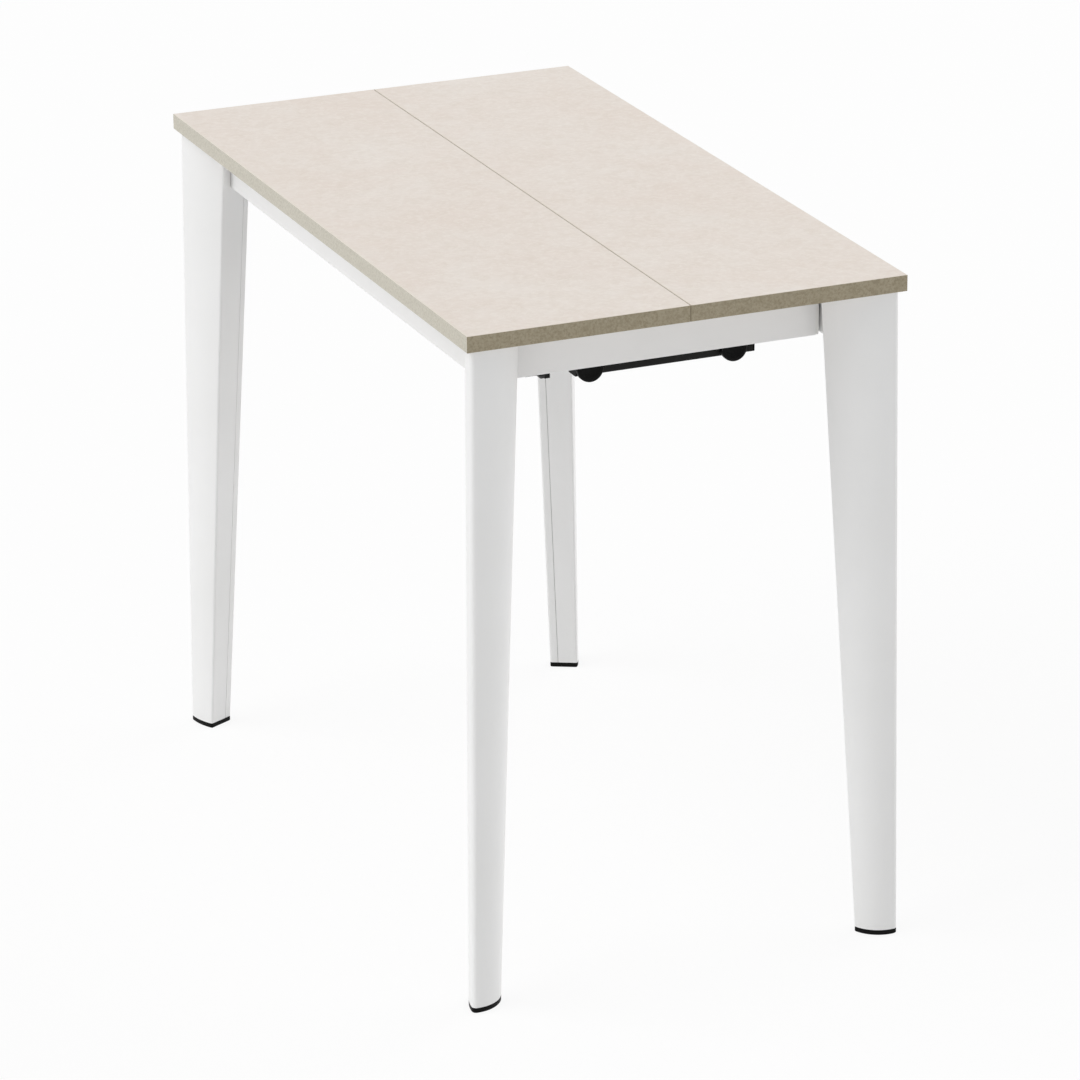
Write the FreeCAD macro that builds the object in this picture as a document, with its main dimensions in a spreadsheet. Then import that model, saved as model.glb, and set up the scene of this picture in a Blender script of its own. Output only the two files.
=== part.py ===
import FreeCAD, Part
import os
import re
import Sketcher
from FreeCAD import Placement, Rotation, Vector

# Extending console table, closed. X is the way the two ends pull apart, Y runs along the seam of the top
# and Z is up. The origin is on the floor, under the middle of the closed top. Front is towards -Y.

SIZES = (
    ("top_length", 900, "top along the seam"),
    ("top_width", 500, "both halves of the closed top"),
    ("top_thickness", 18, "top board"),
    ("table_height", 760, "floor to upper face"),
    ("edging_thickness", 1, "edge band"),
    ("edging_round", 0.6, "rounding of the band's arris"),
    ("seam_gap", 0.3, "hairline between the halves"),
    ("dowel_radius", 4, "seam dowel"),
    ("dowel_embed", 25, "dowel depth in the left half"),
    ("dowel_reach", 15, "dowel length past the left half"),
    ("dowel_inset", 150, "outer dowels from the top's short edges"),
    ("dowel_glue_gap", 0.1, "radial room for glue"),
    ("dowel_slip", 0.25, "radial room in the right half"),
    ("dowel_end_room", 1, "room past the dowel's tip"),
    ("leg_wall", 2, "leg sheet"),
    ("leg_round", 2.5, "outer bend radius of the leg's two inner corners"),
    ("leg_nose_round", 5, "outer bend radius of the leg's outer corner"),
    ("leg_seam_inset", 9.5, "leg's closing seam from its short-side corner"),
    ("leg_seam_width", 0.6, "open width of that seam"),
    ("leg_top_outer_x", 6, "upper section, outer corner"),
    ("leg_top_outer_y", 5.5, "upper section, outer corner"),
    ("leg_top_long_x", 35, "upper section, corner on the long side"),
    ("leg_top_long_y", 75.5, "upper section, corner on the long side"),
    ("leg_top_short_x", 77.5, "upper section, corner on the short side"),
    ("leg_top_short_y", 50.5, "upper section, corner on the short side"),
    ("leg_top_long_bulge", 6, "upper section, rise of the long-side face"),
    ("leg_top_short_bulge", 16, "upper section, rise of the short-side face"),
    ("leg_foot_outer_x", -2.5, "lower section, outer corner"),
    ("leg_foot_outer_y", 1.5, "lower section, outer corner"),
    ("leg_foot_long_x", 10, "lower section, corner on the long side"),
    ("leg_foot_long_y", 40, "lower section, corner on the long side"),
    ("leg_foot_short_x", 39.5, "lower section, corner on the short side"),
    ("leg_foot_short_y", 24.5, "lower section, corner on the short side"),
    ("leg_foot_long_bulge", 3, "lower section, rise of the long-side face"),
    ("leg_foot_short_bulge", 9, "lower section, rise of the short-side face"),
    ("cap_height", 6, "foot cap below the leg"),
    ("cap_spigot", 12, "foot cap inside the leg"),
    ("cap_clearance", 0.3, "spigot to leg wall"),
    ("cap_chamfer", 0.8, "lower edge of the foot cap"),
    ("apron_height", 60, "apron tube"),
    ("apron_thickness", 20, "apron tube"),
    ("apron_wall", 1.5, "apron tube"),
    ("apron_round", 2.5, "corners of the apron tube"),
    ("apron_setback", 45, "apron's outer face from the top's long edge"),
    ("apron_leg_gap", 0.5, "apron's mitred end to the leg"),
    ("stub_wall", 2, "leg's stub in the apron"),
    ("stub_clearance", 0.4, "stub to apron"),
    ("stub_root", 4, "stub's start inside the leg, short of its short-side corner"),
    ("stub_reach", 35, "stub's end past the leg's long-side corner"),
    ("bolt_radius", 3, "stub bolt"),
    ("bolt_length", 9, "stub bolt under its head"),
    ("bolt_head_radius", 5, "stub bolt"),
    ("bolt_head_height", 3, "stub bolt"),
    ("bolt_clearance", 0.1, "radial room round the stub bolt"),
    ("bolt_pitch", 24, "spacing of the two stub bolts"),
    ("bolt_place", 20, "stub bolts past the leg's long-side corner"),
    ("top_screw_radius", 2.25, "screw into the top board"),
    ("top_screw_bite", 12, "its depth in the board"),
    ("top_screw_head_radius", 4.5, "screw into the top board"),
    ("top_screw_head_height", 3, "screw into the top board"),
    ("top_screw_inset", 59.5, "outer screws from the end of the leg's stub"),
    ("screw_clearance", 0.1, "radial room round a screw"),
    ("driver_hole_radius", 6, "hole for the screwdriver under the apron"),
    ("guide_setback", 70, "outer guide member from the top's short edge"),
    ("guide_thickness", 14, "every guide member"),
    ("guide_gap", 1, "between neighbouring members"),
    ("guide_top_gap", 1, "members to the top's underside"),
    ("guide_wall", 2, "walls round a member's chambers"),
    ("guide_round", 0.8, "outer corners of a member"),
    ("slot_mouth", 9, "slot in a member's outer side"),
    ("slot_lip", 2.5, "lip in front of the slot"),
    ("slot_depth", 5, "slot behind its lip"),
    ("slot_height", 18, "slot behind its lip"),
    ("rib_neck", 5, "rib on a member's inner side"),
    ("rib_head", 13, "head of the rib"),
    ("rib_head_thickness", 2, "head of the rib"),
    ("stage_travel", 250, "travel of one member along the next"),
    ("glide_seat", 0.05, "glide to the member that holds it"),
    ("glide_running", 0.15, "glide to the member that slides on it"),
    ("glide_inset", 2, "glide from the member's end"),
    ("stop_gap", 0.2, "between the glides when fully pulled out"),
    ("end_cap_thickness", 3.5, "cap on an outer member's free end"),
    ("end_cap_plug", 10, "cap's plugs in the chambers"),
    ("end_cap_clearance", 0.2, "plug to chamber"),
    ("end_cap_round", 2.5, "corner of the cap"),
    ("plate_thickness", 7.5, "end plate between apron and guide member"),
    ("plate_ear", 10, "end plate past its guide member"),
    ("plate_screw_radius", 2.5, "screw from end plate into apron"),
    ("plate_screw_past", 3, "its tip past the apron's wall"),
    ("plate_screw_head_radius", 4, "screw from end plate into apron"),
    ("plate_screw_head_height", 2.5, "screw from end plate into apron"),
    ("plate_screw_pitch", 30, "spacing of the two plate screws"),
    ("port_screw_radius", 2, "screw from end plate into guide member"),
    ("port_screw_bite", 16, "its depth in the member"),
    ("port_screw_head_radius", 3.5, "screw from end plate into guide member"),
    ("port_screw_head_height", 3, "screw from end plate into guide member"),
    ("port_screw_pitch", 11, "spacing of the two port screws"),
    ("pad_length", 30, "pad between member and top"),
    ("pad_width", 10, "pad between member and top"),
    ("pad_near", 40, "pad from the seam"),
    ("pad_inset", 27.5, "outer pad from the member's end"),
    ("tie_width", 40, "strip between the front and rear guides"),
    ("tie_arm_width", 30, "arm of the strip that carries the magnets"),
    ("tie_arm_reach", 16, "arm past the middle of a support leg"),
    ("tie_thickness", 2.5, "strip, and top of the pivot brackets"),
    ("tie_drop", 1, "packers above the strip"),
    ("stage_screw_radius", 2, "screw through the strip or bracket"),
    ("stage_screw_past", 4, "its tip above the member's lower face"),
    ("stage_screw_head_radius", 3.5, "screw through the strip or bracket"),
    ("stage_screw_head_height", 2, "screw through the strip or bracket"),
    ("stage_screw_pitch", 26, "spacing of a pair"),
    ("leg_drop", 16, "support leg's middle below the guides"),
    ("hinge_offset", 12, "hinge from the middle member's inner face"),
    ("post_share", 0.67, "support leg's post, as a share of the way from the middle to the guide's end"),
    ("tube_size", 20, "square tube of the support leg"),
    ("tube_wall", 1.5, "square tube of the support leg"),
    ("tube_round", 2, "corners of the square tube"),
    ("eye_thickness", 6, "hinge eye of the support leg"),
    ("eye_radius", 8.5, "hinge eye of the support leg"),
    ("eye_gap", 0.3, "eye to each cheek"),
    ("eye_overlap", 30, "eye inside the post"),
    ("heel_clearance", 0.2, "eye's heel to the bracket when the leg is down"),
    ("heel_height", 5, "square heel of the eye"),
    ("post_start", 14, "post's end from the hinge"),
    ("pin_radius", 3, "hinge pin"),
    ("pin_head_radius", 4.5, "hinge pin"),
    ("pin_head_height", 2, "hinge pin"),
    ("pin_seat", 0.02, "pin to cheek, radial"),
    ("pin_running", 0.05, "pin to eye, radial"),
    ("bracket_width", 40, "pivot bracket"),
    ("cheek_thickness", 3, "cheeks of the pivot bracket"),
    ("cheek_half", 5.5, "half the cheek's depth, and the radius of its lower end"),
    ("bar_room", 14.5, "foot bar's free end to the other leg's bracket"),
    ("plug_thickness", 2, "plug on the foot bar's end"),
    ("plug_depth", 6, "plug inside the foot bar"),
    ("plug_clearance", 0.2, "plug to tube"),
    ("sole_radius", 15, "round glide under the foot bar"),
    ("sole_height", 8, "round glide"),
    ("sole_chamfer", 1.5, "edge of the round glide"),
    ("sole_neck_radius", 7, "collar of the round glide"),
    ("sole_neck", 2, "collar of the round glide"),
    ("sole_stem_radius", 4, "stem of the round glide"),
    ("sole_stem", 12, "stem of the round glide"),
    ("sole_stem_clearance", 0.1, "stem to hole, radial"),
    ("sole_near", 27.5, "glide from the bar's post end"),
    ("sole_plug_gap", 1.5, "outer glide's stem to the plug"),
    ("magnet_radius", 8, "magnet that holds a folded leg"),
    ("magnet_gap", 0.3, "magnet to folded leg"),
)

# Places worked out from the sizes above.
PLACES = {
    "underside": "table_height - top_thickness",
    "guide_bottom": "underside - apron_height",
    "guide_height": "apron_height - guide_top_gap",
    "guide_middle": "guide_height / 2",
    "guide_pitch": "guide_thickness + guide_gap",
    "guide_front": "guide_setback - top_length / 2",
    "guide_end": "top_width / 2 - apron_setback - apron_thickness - plate_thickness",
    "guide_length": "2 * guide_end",
    "apron_outer": "apron_setback - top_width / 2",
    "apron_inner": "apron_outer + apron_thickness",
    "apron_middle": "apron_outer + apron_thickness / 2",
    "slot_floor": "slot_lip + slot_depth",
    "head_start": "slot_lip + (slot_depth - rib_head_thickness) / 2",
    "head_end": "head_start + rib_head_thickness",
    "glide_length": "(guide_length - stage_travel - stop_gap) / 2 - glide_inset",
    "middle_member": "guide_front + 2 * guide_pitch",
    "tie_top": "guide_bottom - tie_drop",
    "tie_bottom": "tie_top - tie_thickness",
    "hinge_level": "guide_bottom - leg_drop",
    "hinge_place": "top_length / 2 - guide_setback - 2 * guide_pitch - guide_thickness - hinge_offset",
    "post_offset": "guide_end * post_share",
    "post_inner": "post_offset - tube_size / 2",
    "post_outer": "post_offset + tube_size / 2",
    "eye_inner": "post_inner + tube_wall",
    "eye_outer": "eye_inner + eye_thickness",
    "eye_middle": "eye_inner + eye_thickness / 2",
    "sole_face": "hinge_place - hinge_level",
    "bar_front": "sole_face + sole_height + sole_neck",
    "bar_back": "bar_front + tube_size",
    "tube_low": "hinge_level - tube_size / 2",
    "tube_high": "hinge_level + tube_size / 2",
    "leg_bottom": "cap_height",
    "apron_share": "(guide_bottom - leg_bottom) / (underside - leg_bottom)",
    "leg_apron_long_x": "leg_foot_long_x + apron_share * (leg_top_long_x - leg_foot_long_x)",
    "leg_apron_long_y": "leg_foot_long_y + apron_share * (leg_top_long_y - leg_foot_long_y)",
    "leg_apron_short_x": "leg_foot_short_x + apron_share * (leg_top_short_x - leg_foot_short_x)",
    "leg_apron_short_y": "leg_foot_short_y + apron_share * (leg_top_short_y - leg_foot_short_y)",
    "top_screw_hole": "top_screw_radius + screw_clearance",
    "plate_screw_hole": "plate_screw_radius + screw_clearance",
    "port_screw_hole": "port_screw_radius + screw_clearance",
    "stage_screw_hole": "stage_screw_radius + screw_clearance",
    "bolt_hole": "bolt_radius + bolt_clearance",
    "outer_ear": "guide_setback - plate_ear / 2",
    "inner_ear": "guide_setback + 4 * guide_pitch + guide_thickness + plate_ear / 2",
    "bar_start": "bracket_width / 2 + bar_room - eye_middle",
    "dowel_pitch": "top_length / 2 - dowel_inset",
    "top_screw_pitch": "top_length / 2 - leg_top_long_y - stub_reach - top_screw_inset",
    "pad_far": "guide_end - pad_inset",
    "sole_far": "plug_thickness + plug_depth + sole_plug_gap + sole_stem_radius",
}

doc = FreeCAD.newDocument("extending_console_table")
sheet = doc.addObject("Spreadsheet::Sheet", "sizes")
for row, (alias, size, note) in enumerate(SIZES, start=1):
    sheet.set(f"A{row}", note)
    sheet.set(f"B{row}", str(size))
    sheet.setAlias(f"B{row}", alias)
doc.recompute()

TURNS = {
    "x": Rotation(Vector(0, 0, 1), Vector(1, 0, 0)),
    "y": Rotation(Vector(0, 0, 1), Vector(0, 1, 0)),
    "z": Rotation(),
}
NORMALS = {"x": Vector(1, 0, 0), "y": Vector(0, 1, 0)}
SAME_LEVEL = 0.01
nodes = []


def formula(text):
    """A formula in sizes and places, as an expression on the sheet's cells."""
    def word(match):
        name = match.group()
        return "(" + formula(PLACES[name]) + ")" if name in PLACES else "sizes." + name
    return re.sub(r"[a-z][a-z_]*", word, text)


def number(text):
    """A formula's value in millimetres."""
    def word(match):
        name = match.group()
        value = number(PLACES[name]) if name in PLACES else sheet.get(name)
        return f"({float(value)!r})"
    return FreeCAD.Units.Quantity(re.sub(r"[a-z][a-z_]*", word, text)).Value


def keep(label, item):
    """Name a finished piece after its file."""
    item.Label = label
    nodes.append(item)
    return item


def box(name, x_span, y_span, z_span):
    """A block between two formulas on each axis."""
    item = doc.addObject("Part::Box", name)
    for side, axis, (low, high) in zip(("Length", "Width", "Height"), "xyz", (x_span, y_span, z_span)):
        item.setExpression(side, formula(f"({high}) - ({low})"))
        item.setExpression(f"Placement.Base.{axis}", formula(low))
    return item


def rod(name, axis, radius, length, start):
    """A round bar of a formula's length along +X, +Y or +Z."""
    item = doc.addObject("Part::Cylinder", name)
    item.Placement = Placement(Vector(), TURNS[axis])
    item.setExpression("Radius", formula(radius))
    item.setExpression("Height", formula(length))
    for way, text in zip("xyz", start):
        item.setExpression(f"Placement.Base.{way}", formula(text))
    return item


def fuse(name, items):
    item = doc.addObject("Part::MultiFuse", name)
    item.Shapes = items
    item.Refine = True
    return item


def cut(name, base, tools):
    item = doc.addObject("Part::Cut", name)
    item.Base = base
    item.Tool = tools[0] if len(tools) == 1 else fuse(name + "_tools", tools)
    item.Refine = True
    return item


def group(name, items):
    item = doc.addObject("Part::Compound", name)
    item.Links = items
    return item


def mirror(name, source, axis):
    item = doc.addObject("Part::Mirroring", name)
    item.Source = source
    item.Normal = NORMALS[axis]
    return item


def half_turn(name, source):
    """The same piece turned half a turn about the upright axis."""
    return mirror(name, mirror(name + "_across", source, "x"), "y")


def round_edges(name, base, radius, chosen):
    """Round the edges of a piece whose bounds pass the given test."""
    doc.recompute()
    item = doc.addObject("Part::Fillet", name)
    item.Base = base
    item.Edges = [(index, number(radius), number(radius))
                  for index, edge in enumerate(base.Shape.Edges, start=1) if chosen(edge.BoundBox)]
    return item


def lies_along(axis, reach):
    """Test for edges that run at least a formula's length along one axis."""
    return lambda bounds: getattr(bounds, axis.upper() + "Length") > number(reach)


def tube(name, axis, spans, wall, bend):
    """Rectangular tube along one axis, open at both ends, with rounded corners."""
    low, high = spans["xyz".index(axis)]
    along = lies_along(axis, f"(({high}) - ({low})) / 2")
    hollow = [span if way == axis else (f"{span[0]} + {wall}", f"{span[1]} - {wall}")
              for way, span in zip("xyz", spans)]
    outside = round_edges(name + "_outside", box(name + "_block", *spans), bend, along)
    inside = round_edges(name + "_inside", box(name + "_hollow", *hollow), f"{bend} - {wall}", along)
    return cut(name, outside, [inside])


def pair_level(middle, pitch, step):
    """Place of the first or second of two fasteners set a pitch apart."""
    return f"{middle} + ({step} - 0.5) * {pitch}"


def bolt_level(step):
    return pair_level("guide_bottom + apron_height / 2", "bolt_pitch", step)


def plate_level(step):
    return pair_level("guide_bottom + guide_middle", "plate_screw_pitch", step)


def front_and_rear(label, front_piece):
    """Two equal pieces, one on each guide, under one name."""
    return keep(label, group(label, [front_piece, mirror(label + "_rear", front_piece, "y")]))


def body_sketch(body, name, role, offset):
    """A sketch on one of the body's origin planes, shifted by three formulas in its own axes."""
    sketch = body.newObject("Sketcher::SketchObject", name)
    plane = next(item for item in body.Origin.OriginFeatures if item.Role == role)
    sketch.AttachmentSupport = [(plane, "")]
    sketch.MapMode = "FlatFace"
    for way, text in zip("xyz", offset):
        sketch.setExpression(f"AttachmentOffset.Base.{way}", formula(text))
    return sketch


def level_sketch(name, height):
    """A level sketch at a formula's height, with its origin under the top's front left corner."""
    sketch = doc.addObject("Sketcher::SketchObject", name)
    for way, text in zip("xyz", ("-top_width / 2", "-top_length / 2", height)):
        sketch.setExpression(f"Placement.Base.{way}", formula(text))
    return sketch


def hold_point(sketch, line, end, place):
    """Hold one end of a sketch line at a place given by two formulas."""
    for kind, text in zip(("DistanceX", "DistanceY"), place):
        index = sketch.addConstraint(Sketcher.Constraint(kind, -1, 1, line, end, number(text)))
        sketch.setExpression(f"Constraints[{index}]", formula(text))


def draw_loop(sketch, corners):
    """A closed run of straight lines through corners given by formulas."""
    first = sketch.GeometryCount
    points = [Vector(number(across), number(up), 0) for across, up in corners]
    for start, end in zip(points, points[1:] + points[:1]):
        sketch.addGeometry(Part.LineSegment(start, end))
    for step, place in enumerate(corners):
        following = first + (step + 1) % len(corners)
        sketch.addConstraint(Sketcher.Constraint("Coincident", first + step, 2, following, 1))
        hold_point(sketch, first + step, 1, place)


def block_loop(across, up):
    """Corners of a rectangle between two pairs of formulas."""
    return [(across[0], up[0]), (across[1], up[0]), (across[1], up[1]), (across[0], up[1])]


def pad(body, sketch, length):
    item = body.newObject("PartDesign::Pad", body.Name + "_pad")
    item.Profile = sketch
    item.setExpression("Length", formula(length))
    return item


# Top: each half is a coated board with an edge band glued round it. Dowels in the left half's seam edge
# slip into holes in the right half.

def top_half(side, hole_radius, hole_depth):
    """Board and band of the left half, with dowel holes and pilot holes."""
    x_span = ("-top_width / 2", "-seam_gap / 2")
    y_span = ("-top_length / 2", "top_length / 2")
    z_span = ("underside", "table_height")
    whole = box(f"top_whole_{side}", x_span, y_span, z_span)
    inset = [(f"{low} + edging_thickness", f"{high} - edging_thickness") for low, high in (x_span, y_span)]
    core = box(f"top_core_{side}", inset[0], inset[1], z_span)
    ring = cut(f"top_ring_{side}", whole, [core])
    arris = round_edges(f"top_arris_{side}", ring, "edging_round", on_arris)
    holes = [
        rod(f"dowel_hole_{side}_{step}", "x", hole_radius, hole_depth,
            (f"-seam_gap / 2 - {hole_depth}", f"({step - 1}) * dowel_pitch", "underside + top_thickness / 2"))
        for step in range(3)
    ]
    pilots = [
        rod(f"pilot_{side}_{step}", "z", "top_screw_hole", "top_screw_bite + screw_clearance",
            ("apron_middle", f"({step - 1}) * top_screw_pitch", "underside"))
        for step in range(3)
    ]
    return cut(f"board_{side}", core, holes + pilots), cut(f"band_{side}", arris, holes)


def on_arris(bounds):
    """True for a level outer edge of the band."""
    level = bounds.ZLength < SAME_LEVEL
    long_edge = bounds.YLength > number("top_length - edging_thickness")
    short_edge = bounds.XLength > number("top_width / 2 - seam_gap / 2 - edging_thickness")
    return level and (long_edge or short_edge)


board_left, band_left = top_half("left", "dowel_radius + dowel_glue_gap", "(dowel_embed + dowel_glue_gap)")
board_right, band_right = top_half("right", "dowel_radius + dowel_slip",
                                   "(dowel_reach + dowel_end_room + seam_gap)")
keep("top_left", board_left)
keep("top_edging_left", band_left)
keep("top_right", mirror("top_right", board_right, "x"))
keep("top_edging_right", mirror("top_edging_right", band_right, "x"))

keep("seam_dowels", group("seam_dowels", [
    rod(f"dowel_{step}", "x", "dowel_radius", "dowel_embed + dowel_reach",
        ("-seam_gap / 2 - dowel_embed", f"({step - 1}) * dowel_pitch", "underside + top_thickness / 2"))
    for step in range(3)
]))


# Legs: one steel sheet folded to a tapering three-cornered tube, with bowed outer faces and an open
# closing seam on the flat inner face. A stub welded through that face carries the apron.

def arc_radius(level, corner):
    """Radius formula of a bowed face from its chord and its rise."""
    run = " + ".join(
        f"(leg_{level}_{corner}_{way} - leg_{level}_outer_{way}) ^ 2" for way in "xy")
    bulge = f"leg_{level}_{corner}_bulge"
    return f"({run}) / (8 * {bulge}) + {bulge} / 2"


def leg_section(level, height):
    """Sketch of the front left leg's outside at one height, in insets from the top's corner."""
    sketch = level_sketch(f"leg_section_{level}", height)
    places = {corner: (f"leg_{level}_{corner}_x", f"leg_{level}_{corner}_y")
              for corner in ("outer", "short", "long")}
    spots = {corner: Vector(number(across), number(along), 0) for corner, (across, along) in places.items()}
    for start, end, bowed in (("outer", "short", "short"), ("long", "outer", "long")):
        chord = spots[end] - spots[start]
        outward = Vector(chord.y, -chord.x, 0).normalize()
        crown = (spots[start] + spots[end]) / 2 + outward * number(f"leg_{level}_{bowed}_bulge")
        sketch.addGeometry(Part.Arc(spots[start], crown, spots[end]))
    sketch.addGeometry(Part.LineSegment(spots["short"], spots["long"]))
    for first, second in (((0, 2), (2, 1)), ((2, 2), (1, 1)), ((1, 2), (0, 1))):
        sketch.addConstraint(Sketcher.Constraint("Coincident", *first, *second))
    for line, end, corner in ((0, 1, "outer"), (2, 1, "short"), (2, 2, "long")):
        hold_point(sketch, line, end, places[corner])
    for line, corner in ((0, "short"), (1, "long")):
        radius = arc_radius(level, corner)
        index = sketch.addConstraint(Sketcher.Constraint("Radius", line, number(radius)))
        sketch.setExpression(f"Constraints[{index}]", formula(radius))
    return sketch


def inset_section(name, section, inset):
    item = doc.addObject("Part::Offset2D", name)
    item.Source = section
    item.Join = "Intersection"
    item.setExpression("Value", formula(f"-({inset})"))
    return item


def loft(name, sections):
    item = doc.addObject("Part::Loft", name)
    item.Sections = sections
    item.Solid = True
    item.Ruled = True
    return item


def seam_cutter():
    """Thin blade that opens the closing seam through the leg's inner face."""
    wires = []
    for level, height in (("foot", "leg_bottom"), ("top", "underside")):
        corner = Vector(number(f"leg_{level}_short_x - top_width / 2"),
                        number(f"leg_{level}_short_y - top_length / 2"), number(height))
        far = Vector(number(f"leg_{level}_long_x - top_width / 2"),
                     number(f"leg_{level}_long_y - top_length / 2"), number(height))
        along = (far - corner).normalize()
        across = Vector(-along.y, along.x, 0) * number("2 * leg_wall")
        start = corner + along * number("leg_seam_inset - leg_seam_width / 2")
        end = corner + along * number("leg_seam_inset + leg_seam_width / 2")
        wires.append(Part.makePolygon([start - across, end - across, end + across, start + across,
                                       start - across]))
    item = doc.addObject("Part::Feature", "leg_seam_cutter")
    item.Shape = Part.makeLoft(wires, True, True)
    return item


def leg_stub():
    """Short tube that the apron is pushed over, with holes for its bolts."""
    y_span = ("leg_top_short_y - stub_root - top_length / 2", "leg_top_long_y + stub_reach - top_length / 2")
    room = "apron_wall + stub_clearance"
    x_span = (f"apron_outer + {room}", f"apron_inner - ({room})")
    z_span = (f"guide_bottom + {room}", f"underside - ({room})")
    hollow = [(f"{low} + stub_wall", f"{high} - stub_wall") for low, high in (x_span, z_span)]
    outside = box("stub_outside", x_span, y_span, z_span)
    inside = box("stub_inside", hollow[0], y_span, hollow[1])
    holes = [
        rod(f"stub_hole_{step}", "x", "bolt_hole", "apron_thickness / 2",
            ("apron_middle", "leg_top_long_y + bolt_place - top_length / 2", bolt_level(step)))
        for step in range(2)
    ]
    holes += [
        rod(f"stub_plate_hole_{step}", "x", "plate_screw_hole", "apron_thickness / 2",
            ("apron_middle", "outer_ear - top_length / 2", plate_level(step)))
        for step in range(2)
    ]
    return cut("leg_stub", outside, [inside] + holes)


def leg_corners(reach, outer):
    """Test for the upright edges at the front left leg's outer corner, or for those at its inner corners."""
    rises = lies_along("z", reach)
    limit = number("(leg_foot_outer_y + leg_foot_short_y - top_length) / 2")
    return lambda bounds: rises(bounds) and (bounds.YMax < limit) == outer


section_foot = leg_section("foot", "leg_bottom")
section_top = leg_section("top", "underside")
leg_bent = round_edges("leg_bent", loft("leg_loft", [section_foot, section_top]), "leg_round",
                       leg_corners("underside / 2", False))
leg_outside = round_edges("leg_outside", leg_bent, "leg_nose_round", leg_corners("underside / 2", True))
leg_inside = round_edges("leg_inside", loft("leg_inside_loft", [
    inset_section("leg_inset_foot", section_foot, "leg_wall"),
    inset_section("leg_inset_top", section_top, "leg_wall"),
]), "leg_nose_round - leg_wall", leg_corners("underside / 2", True))
leg_shell = cut("leg_shell", leg_outside, [leg_inside, seam_cutter()])
leg_front_left = fuse("leg_front_left", [leg_shell, leg_stub()])


# Foot caps: black plastic, flush with the leg, on a spigot pressed up inside it.

def upright(name, section, rise):
    item = doc.addObject("Part::Extrusion", name)
    item.Base = section
    item.DirMode = "Normal"
    item.Solid = True
    item.setExpression("LengthFwd", formula(rise))
    return item


cap_bent = round_edges("cap_bent", upright("cap_outside", section_foot, "-cap_height"), "leg_round",
                       leg_corners("cap_height / 2", False))
cap_block = round_edges("cap_block", cap_bent, "leg_nose_round", leg_corners("cap_height / 2", True))
doc.recompute()
cap_edge = doc.addObject("Part::Chamfer", "cap_edge")
cap_edge.Base = cap_block
cap_edge.Edges = [(index, number("cap_chamfer"), number("cap_chamfer"))
                  for index, edge in enumerate(cap_block.Shape.Edges, start=1)
                  if edge.BoundBox.ZMax < SAME_LEVEL]
spigot_block = upright("cap_spigot_block", inset_section("cap_inset", section_foot, "leg_wall + cap_clearance"),
                       "cap_spigot")
cap_spigot = round_edges("cap_spigot_round", spigot_block, "leg_nose_round - leg_wall - cap_clearance",
                         leg_corners("cap_spigot / 2", True))
cap_front_left = fuse("foot_cap_front_left", [cap_edge, cap_spigot])

for label, piece in (("leg", leg_front_left), ("foot_cap", cap_front_left)):
    keep(f"{label}_front_left", piece)
    rear = keep(f"{label}_rear_left", mirror(f"{label}_rear_left", piece, "y"))
    keep(f"{label}_front_right", mirror(f"{label}_front_right", piece, "x"))
    keep(f"{label}_rear_right", mirror(f"{label}_rear_right", rear, "x"))


# Aprons: rectangular steel tube along Y with mitred ends, pushed over the legs' stubs. Screws through its
# upper wall hold the top, and each end plate of a guide is screwed to its inner wall.

def mitre_place(across, level):
    """Inset of the apron's end at one X inset, just clear of the leg's inner face at that level."""
    drop = f"(leg_{level}_long_y - leg_{level}_short_y) / (leg_{level}_short_x - leg_{level}_long_x)"
    return f"(leg_{level}_long_y + apron_leg_gap - ({across} - leg_{level}_long_x) * {drop})"


def apron(side, ear_place):
    """Left apron with holes for the plate screws at the given inset from the front."""
    near, far = "apron_setback", "apron_setback + apron_thickness"
    plans = []
    for level, height in (("apron", "guide_bottom"), ("top", "underside")):
        plan = level_sketch(f"apron_plan_{level}_{side}", height)
        draw_loop(plan, [
            (near, mitre_place(near, level)),
            (far, mitre_place(far, level)),
            (far, f"top_length - {mitre_place(far, level)}"),
            (near, f"top_length - {mitre_place(near, level)}"),
        ])
        plans.append(plan)
    along = lies_along("y", "top_length / 2")
    block = round_edges(f"apron_outside_{side}", loft(f"apron_block_{side}", plans), "apron_round", along)
    hollow = box(f"apron_hollow_{side}", ("apron_outer + apron_wall", "apron_inner - apron_wall"),
                 ("-top_length / 2", "top_length / 2"),
                 ("guide_bottom + apron_wall", "underside - apron_wall"))
    bore = round_edges(f"apron_bore_{side}", hollow, "apron_round - apron_wall", along)
    holes = []
    for step in range(3):
        along = f"({step - 1}) * top_screw_pitch"
        holes.append(rod(f"top_hole_{side}_{step}", "z", "top_screw_hole", "apron_height / 2",
                         ("apron_middle", along, "guide_bottom + apron_height / 2")))
        holes.append(rod(f"driver_hole_{side}_{step}", "z", "driver_hole_radius", "apron_height / 2",
                         ("apron_middle", along, "guide_bottom")))
    for step in range(2):
        for end_name, sign in (("front", ""), ("rear", "-")):
            bolt_place = f"{sign}(leg_top_long_y + bolt_place - top_length / 2)"
            screw_place = f"{sign}({ear_place} - top_length / 2)"
            holes.append(rod(f"bolt_hole_{side}_{end_name}_{step}", "x", "bolt_hole", "apron_thickness / 2",
                             ("apron_middle", bolt_place, bolt_level(step))))
            holes.append(rod(f"plate_hole_{side}_{end_name}_{step}", "x", "plate_screw_hole",
                             "apron_thickness / 2", ("apron_middle", screw_place, plate_level(step))))
    return cut(f"apron_drilled_{side}", block, [bore] + holes)


keep("apron_left", apron("left", "outer_ear"))
keep("apron_right", mirror("apron_right", apron("right", "inner_ear"), "x"))

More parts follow.
